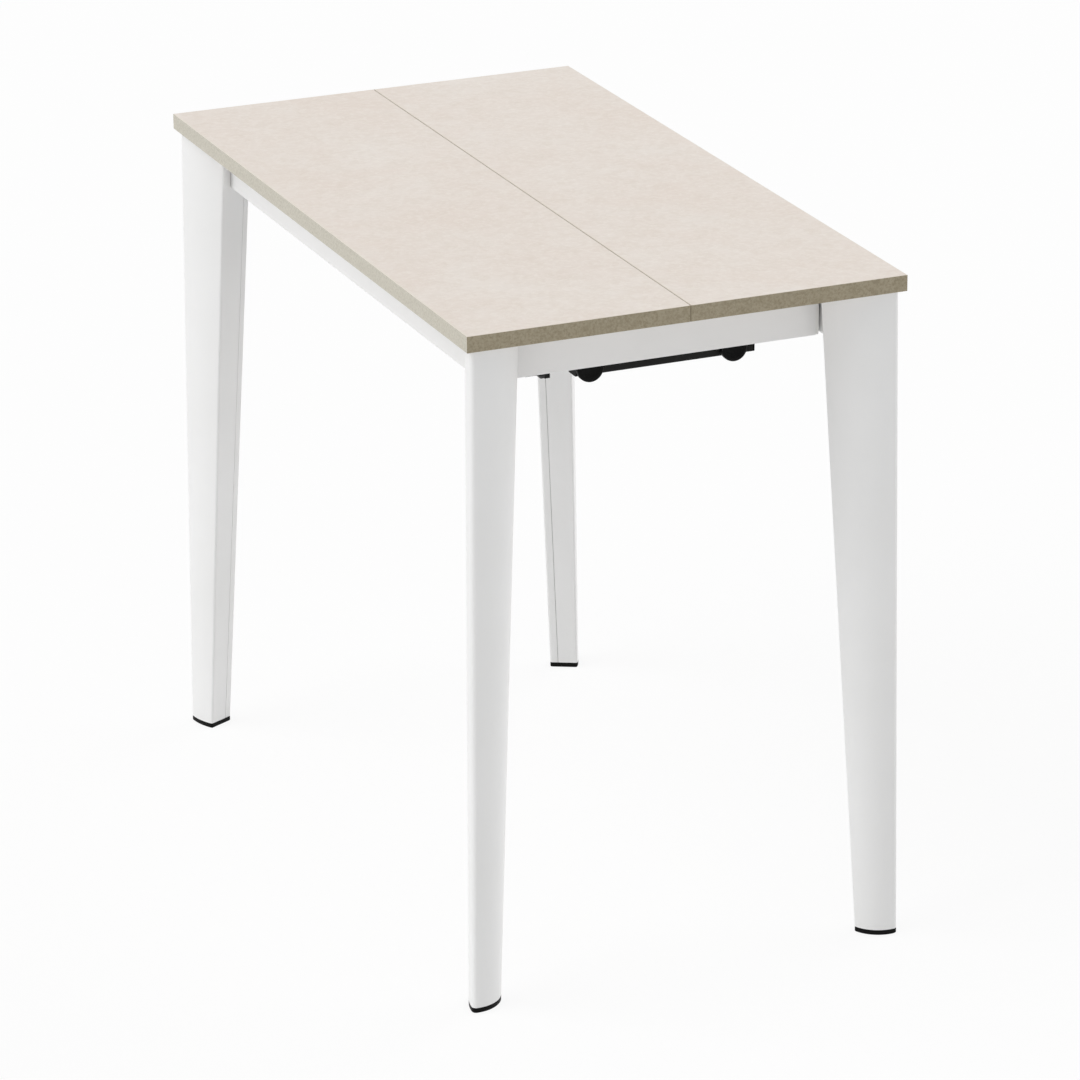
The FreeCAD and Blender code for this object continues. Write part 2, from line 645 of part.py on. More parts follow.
top_screws = [
    fuse(f"top_screw_{step}", [
        rod(f"top_shank_{step}", "z", "top_screw_radius", "top_screw_bite + apron_wall",
            ("apron_middle", f"({step - 1}) * top_screw_pitch", "underside - apron_wall")),
        rod(f"top_head_{step}", "z", "top_screw_head_radius", "top_screw_head_height",
            ("apron_middle", f"({step - 1}) * top_screw_pitch",
             "underside - apron_wall - top_screw_head_height")),
    ])
    for step in range(3)
]
keep("top_screws_left", group("top_screws_left", top_screws))
keep("top_screws_right", mirror("top_screws_right", nodes[-1], "x"))

stub_bolts = []
for step in range(2):
    bolt_place = "leg_top_long_y + bolt_place - top_length / 2"
    front_bolt = fuse(f"stub_bolt_{step}", [
        rod(f"stub_shank_{step}", "x", "bolt_radius", "bolt_length",
            ("apron_inner - bolt_length", bolt_place, bolt_level(step))),
        rod(f"stub_head_{step}", "x", "bolt_head_radius", "bolt_head_height",
            ("apron_inner", bolt_place, bolt_level(step))),
    ])
    stub_bolts += [front_bolt, mirror(f"stub_bolt_rear_{step}", front_bolt, "y")]
keep("apron_bolts_left", group("apron_bolts_left", stub_bolts))
keep("apron_bolts_right", mirror("apron_bolts_right", nodes[-1], "x"))


# Guides: five extruded members lie side by side in each guide. A rib on each member's inner side runs in
# the slot of the next one. The outer member belongs to the left end and the inner one to the right end.

def member_outline(slot, rib):
    """Corners of a member's section, from its outer face inwards and from its lower edge up."""
    low_mouth, high_mouth = "guide_middle - slot_mouth / 2", "guide_middle + slot_mouth / 2"
    low_slot, high_slot = "guide_middle - slot_height / 2", "guide_middle + slot_height / 2"
    low_neck, high_neck = "guide_middle - rib_neck / 2", "guide_middle + rib_neck / 2"
    low_head, high_head = "guide_middle - rib_head / 2", "guide_middle + rib_head / 2"
    face = "guide_thickness"
    near, far = "guide_pitch + head_start", "guide_pitch + head_end"
    corners = [("0", "0"), (face, "0")]
    if rib:
        corners += [(face, low_neck), (near, low_neck), (near, low_head), (far, low_head)]
        corners += [(far, high_head), (near, high_head), (near, high_neck), (face, high_neck)]
    corners += [(face, "guide_height"), ("0", "guide_height")]
    if slot:
        corners += [("0", high_mouth), ("slot_lip", high_mouth)]
        corners += [("slot_lip", high_slot), ("slot_floor", high_slot)]
        corners += [("slot_floor", low_slot), ("slot_lip", low_slot)]
        corners += [("slot_lip", low_mouth), ("0", low_mouth)]
    return corners


def chamber_loops(room):
    """The two hollow chambers of a member, shrunk by the given room on every side."""
    across = (f"guide_wall + {room}", f"guide_thickness - guide_wall - {room}")
    lower = (f"guide_wall + {room}", f"guide_middle - slot_height / 2 - guide_wall - {room}")
    upper = (f"guide_middle + slot_height / 2 + guide_wall + {room}", f"guide_height - guide_wall - {room}")
    return [block_loop(across, lower), block_loop(across, upper)]


def extrusion(name, member, start, length, loops):
    """A section on the front guide, extruded along X."""
    body = doc.addObject("PartDesign::Body", name)
    place = f"guide_front + {member} * guide_pitch"
    sketch = body_sketch(body, name + "_section", "YZ_Plane", (place, "guide_bottom", start))
    for loop in loops:
        draw_loop(sketch, loop)
    pad(body, sketch, length)
    return body


def port_place(member):
    """Where the port screws enter the end of the outer or the inner member."""
    if member == 0:
        return "guide_front + guide_thickness / 2"
    return f"guide_front + {member} * guide_pitch + (slot_floor + guide_thickness) / 2"


def port_level(step):
    return pair_level("guide_bottom + guide_middle", "port_screw_pitch", step)


def port_holes(member):
    """Screw holes in the end of a member, as seen on the left."""
    return [
        rod(f"port_hole_{member}_{step}", "x", "port_screw_hole",
            "port_screw_bite + screw_clearance", ("-guide_end", port_place(member), port_level(step)))
        for step in range(2)
    ]


def underside_holes():
    """Screw holes in the lower wall of the middle member, for the strip and the pivot bracket."""
    return [
        rod(f"stage_hole_{step}", "z", "stage_screw_hole", "stage_screw_past + screw_clearance",
            (across, "middle_member + guide_thickness / 2", "guide_bottom"))
        for step, across in enumerate(stage_screw_places())
    ]


def stage_screw_places():
    """X of the screws under the front middle member: two in the strip and two in the bracket."""
    middles = ("0", "-eye_middle")
    return [pair_level(middle, "stage_screw_pitch", step) for middle in middles for step in range(2)]


def on_member_rim(bounds):
    """True for a long edge on the top or bottom of a member."""
    lengthwise = bounds.XLength > number("guide_end")
    low = abs(bounds.ZMin - number("guide_bottom")) < SAME_LEVEL
    high = abs(bounds.ZMax - number("guide_bottom + guide_height")) < SAME_LEVEL
    return lengthwise and (low or high)


MEMBERS = (("outer", False, True), ("stage_1", True, True), ("stage_2", True, True),
           ("stage_3", True, True), ("inner", True, False))
for member, (stage, slot, rib) in enumerate(MEMBERS):
    profile = extrusion(f"profile_{stage}", member, "-guide_end", "guide_length",
                        [member_outline(slot, rib)] + chamber_loops("0"))
    profile = round_edges(f"rounded_{stage}", profile, "guide_round", on_member_rim)
    if stage == "outer":
        profile = cut("drilled_outer", profile, port_holes(member))
    elif stage == "stage_2":
        profile = cut("drilled_stage_2", profile, underside_holes())
    elif stage == "inner":
        profile = cut("drilled_inner", profile, [
            mirror(hole.Name + "_right", hole, "x") for hole in port_holes(member)])
    if stage == "stage_2":
        rear_profile = half_turn("guide_rear_stage_2", profile)
    else:
        rear_profile = mirror(f"guide_rear_{stage}", profile, "y")
    keep(f"guide_front_{stage}", profile)
    keep(f"guide_rear_{stage}", rear_profile)


# Glides: nylon sleeves clipped round the end of each rib and into the end of each slot. They carry the
# sliding member and meet end to end when a stage is fully out.

def glide_loop(to_slot, to_rib):
    """Sleeve section with the given clearances to the slot's walls and to the rib."""
    low, high = f"slot_lip + {to_slot}", f"slot_floor - {to_slot}"
    near, far = f"head_start - {to_rib}", f"head_end + {to_rib}"
    heights = (f"slot_height / 2 - {to_slot}", f"rib_head / 2 + {to_rib}", f"rib_neck / 2 + {to_rib}")
    tall, head, neck = ((f"guide_middle - ({height})", f"guide_middle + {height}") for height in heights)
    return [(low, tall[0]), (high, tall[0]), (high, tall[1]), (low, tall[1]),
            (low, neck[1]), (near, neck[1]), (near, head[1]), (far, head[1]),
            (far, head[0]), (near, head[0]), (near, neck[0]), (low, neck[0])]


for member in range(4):
    rib_stage, slot_stage = MEMBERS[member][0], MEMBERS[member + 1][0]
    front_and_rear(f"rib_glides_{rib_stage}", extrusion(
        f"rib_glide_{rib_stage}", member + 1, "guide_end - glide_inset - glide_length", "glide_length",
        [glide_loop("glide_running", "glide_seat")]))
    front_and_rear(f"slot_glides_{slot_stage}", extrusion(
        f"slot_glide_{slot_stage}", member + 1, "glide_inset - guide_end", "glide_length",
        [glide_loop("glide_seat", "glide_running")]))


# End caps: plastic plates plugged into the chambers on the free end of the outer members.

cap_face = extrusion("end_cap_face", 0, "guide_end", "end_cap_thickness",
                     [block_loop(("0", "guide_thickness"), ("0", "guide_height"))])
cap_face_round = round_edges("end_cap_round_face", cap_face, "end_cap_round",
                             lies_along("x", "end_cap_thickness / 2"))
lower_plug = extrusion("end_cap_lower_plug", 0, "guide_end - end_cap_plug", "end_cap_plug",
                      chamber_loops("end_cap_clearance")[:1])
upper_plug = extrusion("end_cap_upper_plug", 0, "guide_end - end_cap_plug", "end_cap_plug",
                       chamber_loops("end_cap_clearance")[1:])
front_and_rear("guide_caps_outer", fuse("end_cap", [cap_face_round, lower_plug, upper_plug]))


# End plates: aluminium blocks between an apron and the end of the outer or inner members. The ear beside
# the member is screwed to the apron, and two recessed screws run into the member's end.

def end_plate(side, member, y_span, ear_place):
    """Plate of a front guide and its four screws, as seen on the left."""
    x_span = ("apron_inner", "-guide_end")
    block = box(f"plate_block_{side}", x_span, y_span, ("guide_bottom", "guide_bottom + guide_height"))
    holes, screws = [], []
    for step in range(2):
        ear = (f"{ear_place} - top_length / 2", plate_level(step))
        port = (port_place(member), port_level(step))
        holes += [
            rod(f"ear_hole_{side}_{step}", "x", "plate_screw_hole", "plate_thickness",
                ("apron_inner", *ear)),
            rod(f"port_way_{side}_{step}", "x", "port_screw_hole", "plate_thickness",
                ("apron_inner", *port)),
            rod(f"port_recess_{side}_{step}", "x", "port_screw_head_radius + screw_clearance",
                "port_screw_head_height + screw_clearance", ("apron_inner", *port)),
        ]
        screws += [
            fuse(f"ear_screw_{side}_{step}", [
                rod(f"ear_shank_{side}_{step}", "x", "plate_screw_radius",
                    "plate_thickness + apron_wall + plate_screw_past",
                    ("apron_inner - apron_wall - plate_screw_past", *ear)),
                rod(f"ear_head_{side}_{step}", "x", "plate_screw_head_radius", "plate_screw_head_height",
                    ("-guide_end", *ear)),
            ]),
            fuse(f"port_screw_{side}_{step}", [
                rod(f"port_shank_{side}_{step}", "x", "port_screw_radius",
                    "plate_thickness + port_screw_bite - screw_clearance",
                    ("apron_inner + screw_clearance", *port)),
                rod(f"port_head_{side}_{step}", "x", "port_screw_head_radius", "port_screw_head_height",
                    ("apron_inner + screw_clearance", *port)),
            ]),
        ]
    return cut(f"plate_{side}", block, holes), screws


plate_left, screws_left = end_plate(
    "left", 0, ("guide_front - plate_ear", "guide_front + guide_thickness"), "outer_ear")
inner_member = "guide_front + 4 * guide_pitch"
plate_right, screws_right = end_plate(
    "right", 4, (inner_member, f"{inner_member} + guide_thickness + plate_ear"), "inner_ear")
plate_across = mirror("plate_right_across", plate_right, "x")
for side, plate, screws in (("left", plate_left, screws_left), ("right", plate_across, screws_right)):
    keep(f"end_plate_front_{side}", plate)
    keep(f"end_plate_rear_{side}", mirror(f"end_plate_rear_{side}", plate, "y"))
    screw_set = group(f"plate_screws_{side}", screws)
    rear_set = mirror(f"plate_screws_rear_{side}", screw_set, "y")
    both_sets = group(f"plate_screws_both_{side}", [screw_set, rear_set])
    if side == "right":
        both_sets = mirror("plate_screws_across", both_sets, "x")
    keep(f"end_plate_screws_{side}", both_sets)


# Support pads: strips that pack the top off the outer members on the left and the inner ones on the right.

def pads(side, member):
    """Pads on a front member, as seen on the left."""
    middle = f"guide_front + {member} * guide_pitch + guide_thickness / 2"
    return group(f"pads_{side}", [
        box(f"pad_{side}_{spot}", (f"-{spot} - pad_length / 2", f"-{spot} + pad_length / 2"),
            (f"{middle} - pad_width / 2", f"{middle} + pad_width / 2"),
            ("underside - guide_top_gap", "underside"))
        for spot in ("pad_near", "pad_far")
    ])


front_and_rear("support_pads_left", pads("left", 0))
front_and_rear("support_pads_right", mirror("pads_across", pads("right", 4), "x"))


# Middle stage: a steel strip ties the front and rear members and carries the magnets that hold the folded
# support legs. Packers keep it and the pivot brackets clear of the members that slide over them.

arm_end = "post_offset + tie_arm_reach"
keep("cross_tie", cut("cross_tie", fuse("tie_strips", [
    box("tie_strip", ("-tie_width / 2", "tie_width / 2"), ("middle_member", "-(middle_member)"),
        ("tie_bottom", "tie_top")),
    box("tie_arm", (f"-({arm_end})", arm_end), ("-tie_arm_width / 2", "tie_arm_width / 2"),
        ("tie_bottom", "tie_top")),
]), [
    rod(f"tie_hole_{end}_{step}", "z", "stage_screw_hole", "tie_thickness",
        (stage_screw_places()[step], f"{sign}(middle_member + guide_thickness / 2)", "tie_bottom"))
    for end, sign in (("front", ""), ("rear", "-")) for step in range(2)
]))

keep("magnet_catches", group("magnet_catches", [
    rod(f"magnet_{side}", "z", "magnet_radius", "tie_bottom - tube_high - magnet_gap",
        (f"{sign}post_offset", "0", "tube_high + magnet_gap"))
    for side, sign in (("left", "-"), ("right", ""))
]))

packers, stage_screws = [], []
for spot, middle, width in (("tie", "0", "tie_width"), ("bracket", "-eye_middle", "bracket_width")):
    blank = box(f"packer_blank_{spot}", (f"{middle} - {width} / 2", f"{middle} + {width} / 2"),
                ("middle_member", "middle_member + guide_thickness"), ("tie_top", "guide_bottom"))
    packer_holes = []
    for step in range(2):
        spot_x = pair_level(middle, "stage_screw_pitch", step)
        spot_y = "middle_member + guide_thickness / 2"
        packer_holes.append(rod(f"packer_hole_{spot}_{step}", "z", "stage_screw_hole", "tie_drop",
                                (spot_x, spot_y, "tie_top")))
        stage_screws.append(fuse(f"stage_screw_{spot}_{step}", [
            rod(f"stage_shank_{spot}_{step}", "z", "stage_screw_radius",
                "tie_thickness + tie_drop + stage_screw_past", (spot_x, spot_y, "tie_bottom")),
            rod(f"stage_head_{spot}_{step}", "z", "stage_screw_head_radius", "stage_screw_head_height",
                (spot_x, spot_y, "tie_bottom - stage_screw_head_height")),
        ]))
    packers.append(cut(f"packer_{spot}", blank, packer_holes))
for label, front_set in (("stage_spacers", packers), ("stage_screws", stage_screws)):
    front_group = group(label + "_front", front_set)
    keep(label, group(label, [front_group, half_turn(label + "_rear", front_group)]))


# Pivot brackets: bent steel, screwed under the middle members, with two cheeks for the hinge pin.

def pivot_bracket():
    """Bracket under the front guide."""
    pivot = "-(hinge_place)"
    plate = box("bracket_plate", ("-eye_middle - bracket_width / 2", "-eye_middle + bracket_width / 2"),
                ("middle_member", f"{pivot} + cheek_half"), ("tie_bottom", "tie_top"))
    cheeks = []
    for side, low, high in (
        ("left", "-eye_outer - eye_gap - cheek_thickness", "-eye_outer - eye_gap"),
        ("right", "-eye_inner + eye_gap", "-eye_inner + eye_gap + cheek_thickness"),
    ):
        cheeks.append(box(f"cheek_{side}", (low, high), (f"{pivot} - cheek_half", f"{pivot} + cheek_half"),
                          ("hinge_level", "tie_top")))
        cheeks.append(rod(f"cheek_end_{side}", "x", "cheek_half", "cheek_thickness", (low, pivot, "hinge_level")))
    holes = [
        rod(f"bracket_hole_{step}", "z", "stage_screw_hole", "tie_thickness",
            (across, "middle_member + guide_thickness / 2", "tie_bottom"))
        for step, across in enumerate(stage_screw_places()[2:])
    ]
    holes.append(rod("bracket_bore", "x", "pin_radius + pin_seat", "bracket_width",
                     ("-eye_middle - bracket_width / 2", pivot, "hinge_level")))
    return cut("bracket", fuse("bracket_blank", [plate] + cheeks), holes)


bracket_front = keep("pivot_bracket_front", pivot_bracket())
keep("pivot_bracket_rear", half_turn("pivot_bracket_rear", bracket_front))

grip = "eye_gap + cheek_thickness"
pin_front = fuse("pin_front", [
    rod("pin_shank", "x", "pin_radius", f"eye_thickness + 2 * ({grip})",
        (f"-eye_outer - ({grip})", "-(hinge_place)", "hinge_level")),
    rod("pin_head_left", "x", "pin_head_radius", "pin_head_height",
        (f"-eye_outer - ({grip}) - pin_head_height", "-(hinge_place)", "hinge_level")),
    rod("pin_head_right", "x", "pin_head_radius", "pin_head_height",
        (f"-eye_inner + {grip}", "-(hinge_place)", "hinge_level")),
])
keep("pivot_pins", group("pivot_pins", [pin_front, half_turn("pin_rear", pin_front)]))


# Support legs: welded square tube, folded up under the top. Each hangs from one guide, and its foot bar lies
# under the other guide. The eye's square heel meets the bracket when the leg is straight down.

def support_leg():
    """Leg hinged on the rear guide: post, foot bar and hinge eye in one weldment."""
    inner_low, inner_high = "tube_low + tube_wall", "tube_high - tube_wall"
    post_end = "hinge_place - post_start"
    level = ("tube_low", "tube_high")
    post_span = ("post_inner", "post_outer")
    post = tube("post", "y", (post_span, ("bar_back", post_end), level), "tube_wall", "tube_round")
    bar_span = ("bar_start + plug_thickness", "post_outer - plug_thickness")
    bar = tube("foot_bar", "x", (bar_span, ("bar_front", "bar_back"), level), "tube_wall", "tube_round")
    eye_span = ("eye_inner", "eye_outer")
    eye = [
        box("eye_strip", eye_span, (f"{post_end} - eye_overlap", "hinge_place"), (inner_low, inner_high)),
        rod("eye_ring", "x", "eye_radius", "eye_thickness", ("eye_inner", "hinge_place", "hinge_level")),
        box("eye_heel", eye_span, ("hinge_place", "hinge_place + tie_bottom - hinge_level - heel_clearance"),
            ("hinge_level - heel_height", "hinge_level")),
    ]
    holes = [rod("eye_bore", "x", "pin_radius + pin_running", "eye_thickness",
                 ("eye_inner", "hinge_place", "hinge_level"))]
    holes += [
        rod(f"stem_hole_{step}", "y", "sole_stem_radius + sole_stem_clearance", "tube_wall",
            (across, "bar_front", "hinge_level"))
        for step, across in enumerate(sole_places())
    ]
    return cut("support_leg", fuse("leg_weldment", [post, bar] + eye), holes)


def sole_places():
    return ["post_outer - sole_near", "bar_start + sole_far"]


def sole_glide(step, across):
    """Round glide with a chamfered tread, a collar and a stem in the foot bar."""
    tread = doc.addObject("Part::Cone", f"sole_tread_{step}")
    tread.Placement = Placement(Vector(), TURNS["y"])
    tread.setExpression("Radius1", formula("sole_radius - sole_chamfer"))
    tread.setExpression("Radius2", formula("sole_radius"))
    tread.setExpression("Height", formula("sole_chamfer"))
    for way, text in zip("xyz", (across, "sole_face", "hinge_level")):
        tread.setExpression(f"Placement.Base.{way}", formula(text))
    disc = rod(f"sole_disc_{step}", "y", "sole_radius", "sole_height - sole_chamfer",
               (across, "sole_face + sole_chamfer", "hinge_level"))
    collar = rod(f"sole_collar_{step}", "y", "sole_neck_radius", "sole_neck",
                 (across, "sole_face + sole_height", "hinge_level"))
    stem = rod(f"sole_stem_{step}", "y", "sole_stem_radius", "sole_stem",
               (across, "bar_front", "hinge_level"))
    return fuse(f"sole_{step}", [tread, disc, collar, stem])


def bar_plug(side, low, high, inner_low, inner_high):
    """Square plug on one end of the foot bar."""
    room = "tube_wall + plug_clearance"
    face = box(f"plug_face_{side}", (low, high), ("bar_front", "bar_back"), ("tube_low", "tube_high"))
    return fuse(f"bar_plug_{side}", [
        round_edges(f"plug_round_{side}", face, "tube_round", lies_along("x", "plug_thickness / 2")),
        box(f"plug_body_{side}", (inner_low, inner_high), (f"bar_front + {room}", f"bar_back - ({room})"),
            (f"tube_low + {room}", f"tube_high - ({room})")),
    ])


post_face = "post_outer - plug_thickness"
free_face = "bar_start + plug_thickness"
rear_pieces = {
    "support_leg": support_leg(),
    "leg_glides": group("soles", [sole_glide(step, across) for step, across in enumerate(sole_places())]),
    "leg_plugs": group("plugs", [
        bar_plug("post", post_face, "post_outer", f"{post_face} - plug_depth", post_face),
        bar_plug("free", "bar_start", free_face, free_face, f"{free_face} + plug_depth"),
    ]),
}
for label, piece in rear_pieces.items():
    keep(f"{label}_rear", piece)
    keep(f"{label}_front", half_turn(f"{label}_front", piece))


doc.recompute()
for item in doc.Objects:
    if "Invalid" in item.State or "Error" in item.State:
        raise RuntimeError(f"{item.Label} failed: {item.State}")
for item in nodes:
    if item.Shape.isNull() or not item.Shape.isValid():
        raise RuntimeError(f"{item.Label} has no valid shape")
os.makedirs("parts", exist_ok=True)
for item in nodes:
    item.Shape.exportStep(f"parts/{item.Label}.step")
    print(item.Label, len(item.Shape.Solids), round(item.Shape.Volume))
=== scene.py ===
import math
import bmesh
import bpy
from mathutils import Matrix, Vector


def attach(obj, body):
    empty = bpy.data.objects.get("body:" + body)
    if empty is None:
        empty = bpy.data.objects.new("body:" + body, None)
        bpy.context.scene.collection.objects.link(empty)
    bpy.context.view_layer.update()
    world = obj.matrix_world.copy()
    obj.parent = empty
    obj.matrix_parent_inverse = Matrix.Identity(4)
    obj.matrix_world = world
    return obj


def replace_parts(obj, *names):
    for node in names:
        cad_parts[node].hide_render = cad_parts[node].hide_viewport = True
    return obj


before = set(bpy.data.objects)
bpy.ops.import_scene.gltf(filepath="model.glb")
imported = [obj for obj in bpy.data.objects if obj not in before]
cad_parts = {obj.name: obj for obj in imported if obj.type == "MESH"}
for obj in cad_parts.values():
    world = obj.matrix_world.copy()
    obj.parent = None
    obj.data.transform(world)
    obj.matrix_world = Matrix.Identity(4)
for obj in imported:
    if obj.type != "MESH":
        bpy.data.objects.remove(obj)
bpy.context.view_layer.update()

# Legs: steel sheet folded to a tapering three-cornered tube and powder coated white. The sheet's
# two edges meet on an open seam inside each leg, and a welded stub carries the apron.

# The scale of a pattern is this over the pattern's size.
METRE_MM = 1000
# Sockets of a Mix node for colours: its share, the colours at none and all of it, and the result.
SHARE, LOW, HIGH, BLEND = 0, 6, 7, 2


def linear(hex_colour):
    """Shader colour of an sRGB hex value."""
    channels = [int(hex_colour[place:place + 2], 16) / 255 for place in (1, 3, 5)]
    return [c / 12.92 if c <= 0.04045 else ((c + 0.055) / 1.055) ** 2.4 for c in channels] + [1.0]


def add_node(tree, kind, inputs, **settings):
    """A node with its settings. An input is a value, or the socket that feeds it."""
    added = tree.nodes.new("ShaderNode" + kind)
    for name, value in settings.items():
        setattr(added, name, value)
    for name, value in inputs.items():
        if isinstance(value, bpy.types.NodeSocket):
            tree.links.new(value, added.inputs[name])
        else:
            added.inputs[name].default_value = value
    return added


def start_finish(name, **values):
    """A new material: its tree, its shader with plain values set, and its place in the object."""
    material = bpy.data.materials.new(name)
    material.use_nodes = True
    tree = material.node_tree
    shader = tree.nodes["Principled BSDF"]
    for socket, value in values.items():
        shader.inputs[socket.replace("_", " ")].default_value = value
    return material, tree, shader, add_node(tree, "TexCoord", {}).outputs["Object"]


def dress(material, *nodes):
    """Gives CAD nodes a finish."""
    for node in nodes:
        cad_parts[node].material_slots[0].material = material


# Polyester powder fused in an oven: a satin white skin with a fine orange peel, and a slow drift
# of film thickness that shows as a faint cloud.
COAT_THIN = linear("#E9E9E8")
COAT_WHITE = linear("#F0F0F0")
FILM_MM = 110
PEEL_MM = 2.4
white_coat, tree, shader, place = start_finish("white_powder_coat", Roughness=0.42, IOR=1.5)
film = add_node(tree, "TexNoise", {"Vector": place, "Scale": METRE_MM / FILM_MM, "Detail": 3.0})
cloud = add_node(tree, "Mix", {SHARE: film.outputs["Fac"], LOW: COAT_THIN, HIGH: COAT_WHITE},
                 data_type="RGBA")
tree.links.new(cloud.outputs[BLEND], shader.inputs["Base Color"])
peel = add_node(tree, "TexNoise", {"Vector": place, "Scale": METRE_MM / PEEL_MM, "Detail": 1.5,
                                   "Roughness": 0.4})
dimples = add_node(tree, "Bump", {"Height": peel.outputs["Fac"], "Strength": 0.3,
                                  "Distance": 0.00008})
tree.links.new(dimples.outputs["Normal"], shader.inputs["Normal"])
dress(white_coat, "leg_front_left", "leg_rear_left", "leg_front_right", "leg_rear_right")

# Seam roots: the weld run inside each leg that holds the sheet's two edges together. It closes the
# bottom of the seam, so that the seam shows as a fine groove and not as a slot.
SEAM_FOOT = Vector((-0.21891, -0.42108, 0.007))
SEAM_TOP = Vector((-0.18069, -0.39468, 0.741))
SEAM_ALONG = Vector((-0.874, 0.486, 0))
SEAM_INWARD = Vector((-0.486, -0.874, 0))
ROOT_HALF = 0.001
ROOT_DEPTH = 0.0009
ROOT_THICKNESS = 0.0006
SHARP_ANGLE = math.radians(35)

# Powder coat at the bottom of the groove. Charged powder hardly reaches it, so the coat is thin
# there,
# and its grey patches are painted shade: the groove's shadow is painted into its colour.
GROOVE_SHADE_GREY = linear("#A8A8A6")
GROOVE_SHADE_PALE = linear("#C2C2C0")
GROOVE_SHADE_PATCH_MM = 9
groove_shade_coat, tree, shader, place = start_finish("groove_shade_powder_coat", Roughness=0.55, IOR=1.5)
groove_shade_patches = add_node(tree, "TexNoise", {"Vector": place, "Scale": METRE_MM / GROOVE_SHADE_PATCH_MM, "Detail": 3.0})
painted_groove_shade = add_node(tree, "Mix", {SHARE: groove_shade_patches.outputs["Fac"], LOW: GROOVE_SHADE_GREY, HIGH: GROOVE_SHADE_PALE},
                  data_type="RGBA")
tree.links.new(painted_groove_shade.outputs[BLEND], shader.inputs["Base Color"])


def add_piece(name, shape, body, material):
    """A new piece from a finished bmesh, riding on a body. Its curves shade smoothly."""
    mesh = bpy.data.meshes.new(name)
    shape.to_mesh(mesh)
    shape.free()
    mesh.shade_smooth()
    mesh.set_sharp_from_angle(angle=SHARP_ANGLE)
    piece = bpy.data.objects.new(name, mesh)
    bpy.context.scene.collection.objects.link(piece)
    mesh.materials.append(material)
    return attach(piece, body)


for side, across in (("left", 1), ("right", -1)):
    for end, along in (("front", 1), ("rear", -1)):
        shape = bmesh.new()
        corners = [shape.verts.new(height + SEAM_INWARD * ROOT_DEPTH + SEAM_ALONG * reach)
                   for height, reach in ((SEAM_FOOT, -ROOT_HALF), (SEAM_FOOT, ROOT_HALF),
                                         (SEAM_TOP, ROOT_HALF), (SEAM_TOP, -ROOT_HALF))]
        run = shape.faces.new(corners)
        deep = bmesh.ops.extrude_face_region(shape, geom=[run])["geom"]
        bmesh.ops.translate(shape, vec=SEAM_INWARD * ROOT_THICKNESS,
                            verts=[item for item in deep if isinstance(item, bmesh.types.BMVert)])
        bmesh.ops.scale(shape, vec=(across, along, 1), verts=shape.verts)
        bmesh.ops.recalc_face_normals(shape, faces=shape.faces)
        # The seam roots carry the painted groove shade, a grey that stands in for the groove's
        # shadow.
        add_piece(f"leg_seam_root_{end}_{side}", shape, f"{side}_end", groove_shade_coat)

# Foot caps: black polypropylene, moulded, on a spigot pressed up into each leg. They keep the
# sheet's edge off the floor.

# Polypropylene from a spark-eroded mould: near black, with a low even grain that breaks up the
# gloss. The grain is drawn coarser than its real fifth of a millimetre, so that it shows.
CAP_BLACK = linear("#0B0B0B")
CAP_GREYER = linear("#121211")
CAP_CLOUD_MM = 25
GRAIN_MM = 0.7
black_plastic, tree, shader, place = start_finish("moulded_black_plastic", Roughness=0.5, IOR=1.49,
                                                  Specular_IOR_Level=0.08)
batch = add_node(tree, "TexNoise", {"Vector": place, "Scale": METRE_MM / CAP_CLOUD_MM,
                                    "Detail": 2.0})
tint = add_node(tree, "Mix", {SHARE: batch.outputs["Fac"], LOW: CAP_BLACK, HIGH: CAP_GREYER},
                data_type="RGBA")
tree.links.new(tint.outputs[BLEND], shader.inputs["Base Color"])
grain = add_node(tree, "TexNoise", {"Vector": place, "Scale": METRE_MM / GRAIN_MM, "Detail": 2.0})
sparks = add_node(tree, "Bump", {"Height": grain.outputs["Fac"], "Strength": 0.35,
                                 "Distance": 0.00004})
tree.links.new(sparks.outputs["Normal"], shader.inputs["Normal"])
dress(black_plastic, "foot_cap_front_left", "foot_cap_rear_left", "foot_cap_front_right",
      "foot_cap_rear_right")

# Aprons: rectangular steel tube with mitred ends, pushed over the stubs of the legs and bolted
# there from inside. Powder coated white like the legs.
dress(white_coat, "apron_left", "apron_right")

# Apron bolts: button-head bolts that hold each apron on the stubs of its legs, driven from inside
# with a hexagon key. Steel, rolled thread, zinc plated.
MERGE = 1e-6
SCREW_STEPS = 24
# A head's outline from its face inwards: shares of its radius and of its height.
HEAD_CURVE = ((0.62, 0), (0.82, 0.1), (0.95, 0.32), (1, 0.6), (1, 0.93), (0.97, 1))
# Shares of the shank's radius: root and pitch of the thread, the plain end's length and its tip.
THREAD_ROOT, THREAD_PITCH, PLAIN_END, SHANK_TIP = 0.86, 0.45, 0.6, 0.5
# The drive recess: its bottom as a share of its mouth, and its depth as a share of the head's.
RECESS_TAPER, RECESS_DEPTH = 0.75, 0.6
KEY_SIDES = 6
KEY_SHARE = 0.42
HEXAGON = [(KEY_SHARE * math.cos(math.radians(360 / KEY_SIDES * step)),
            KEY_SHARE * math.sin(math.radians(360 / KEY_SIDES * step)))
           for step in range(KEY_SIDES)]

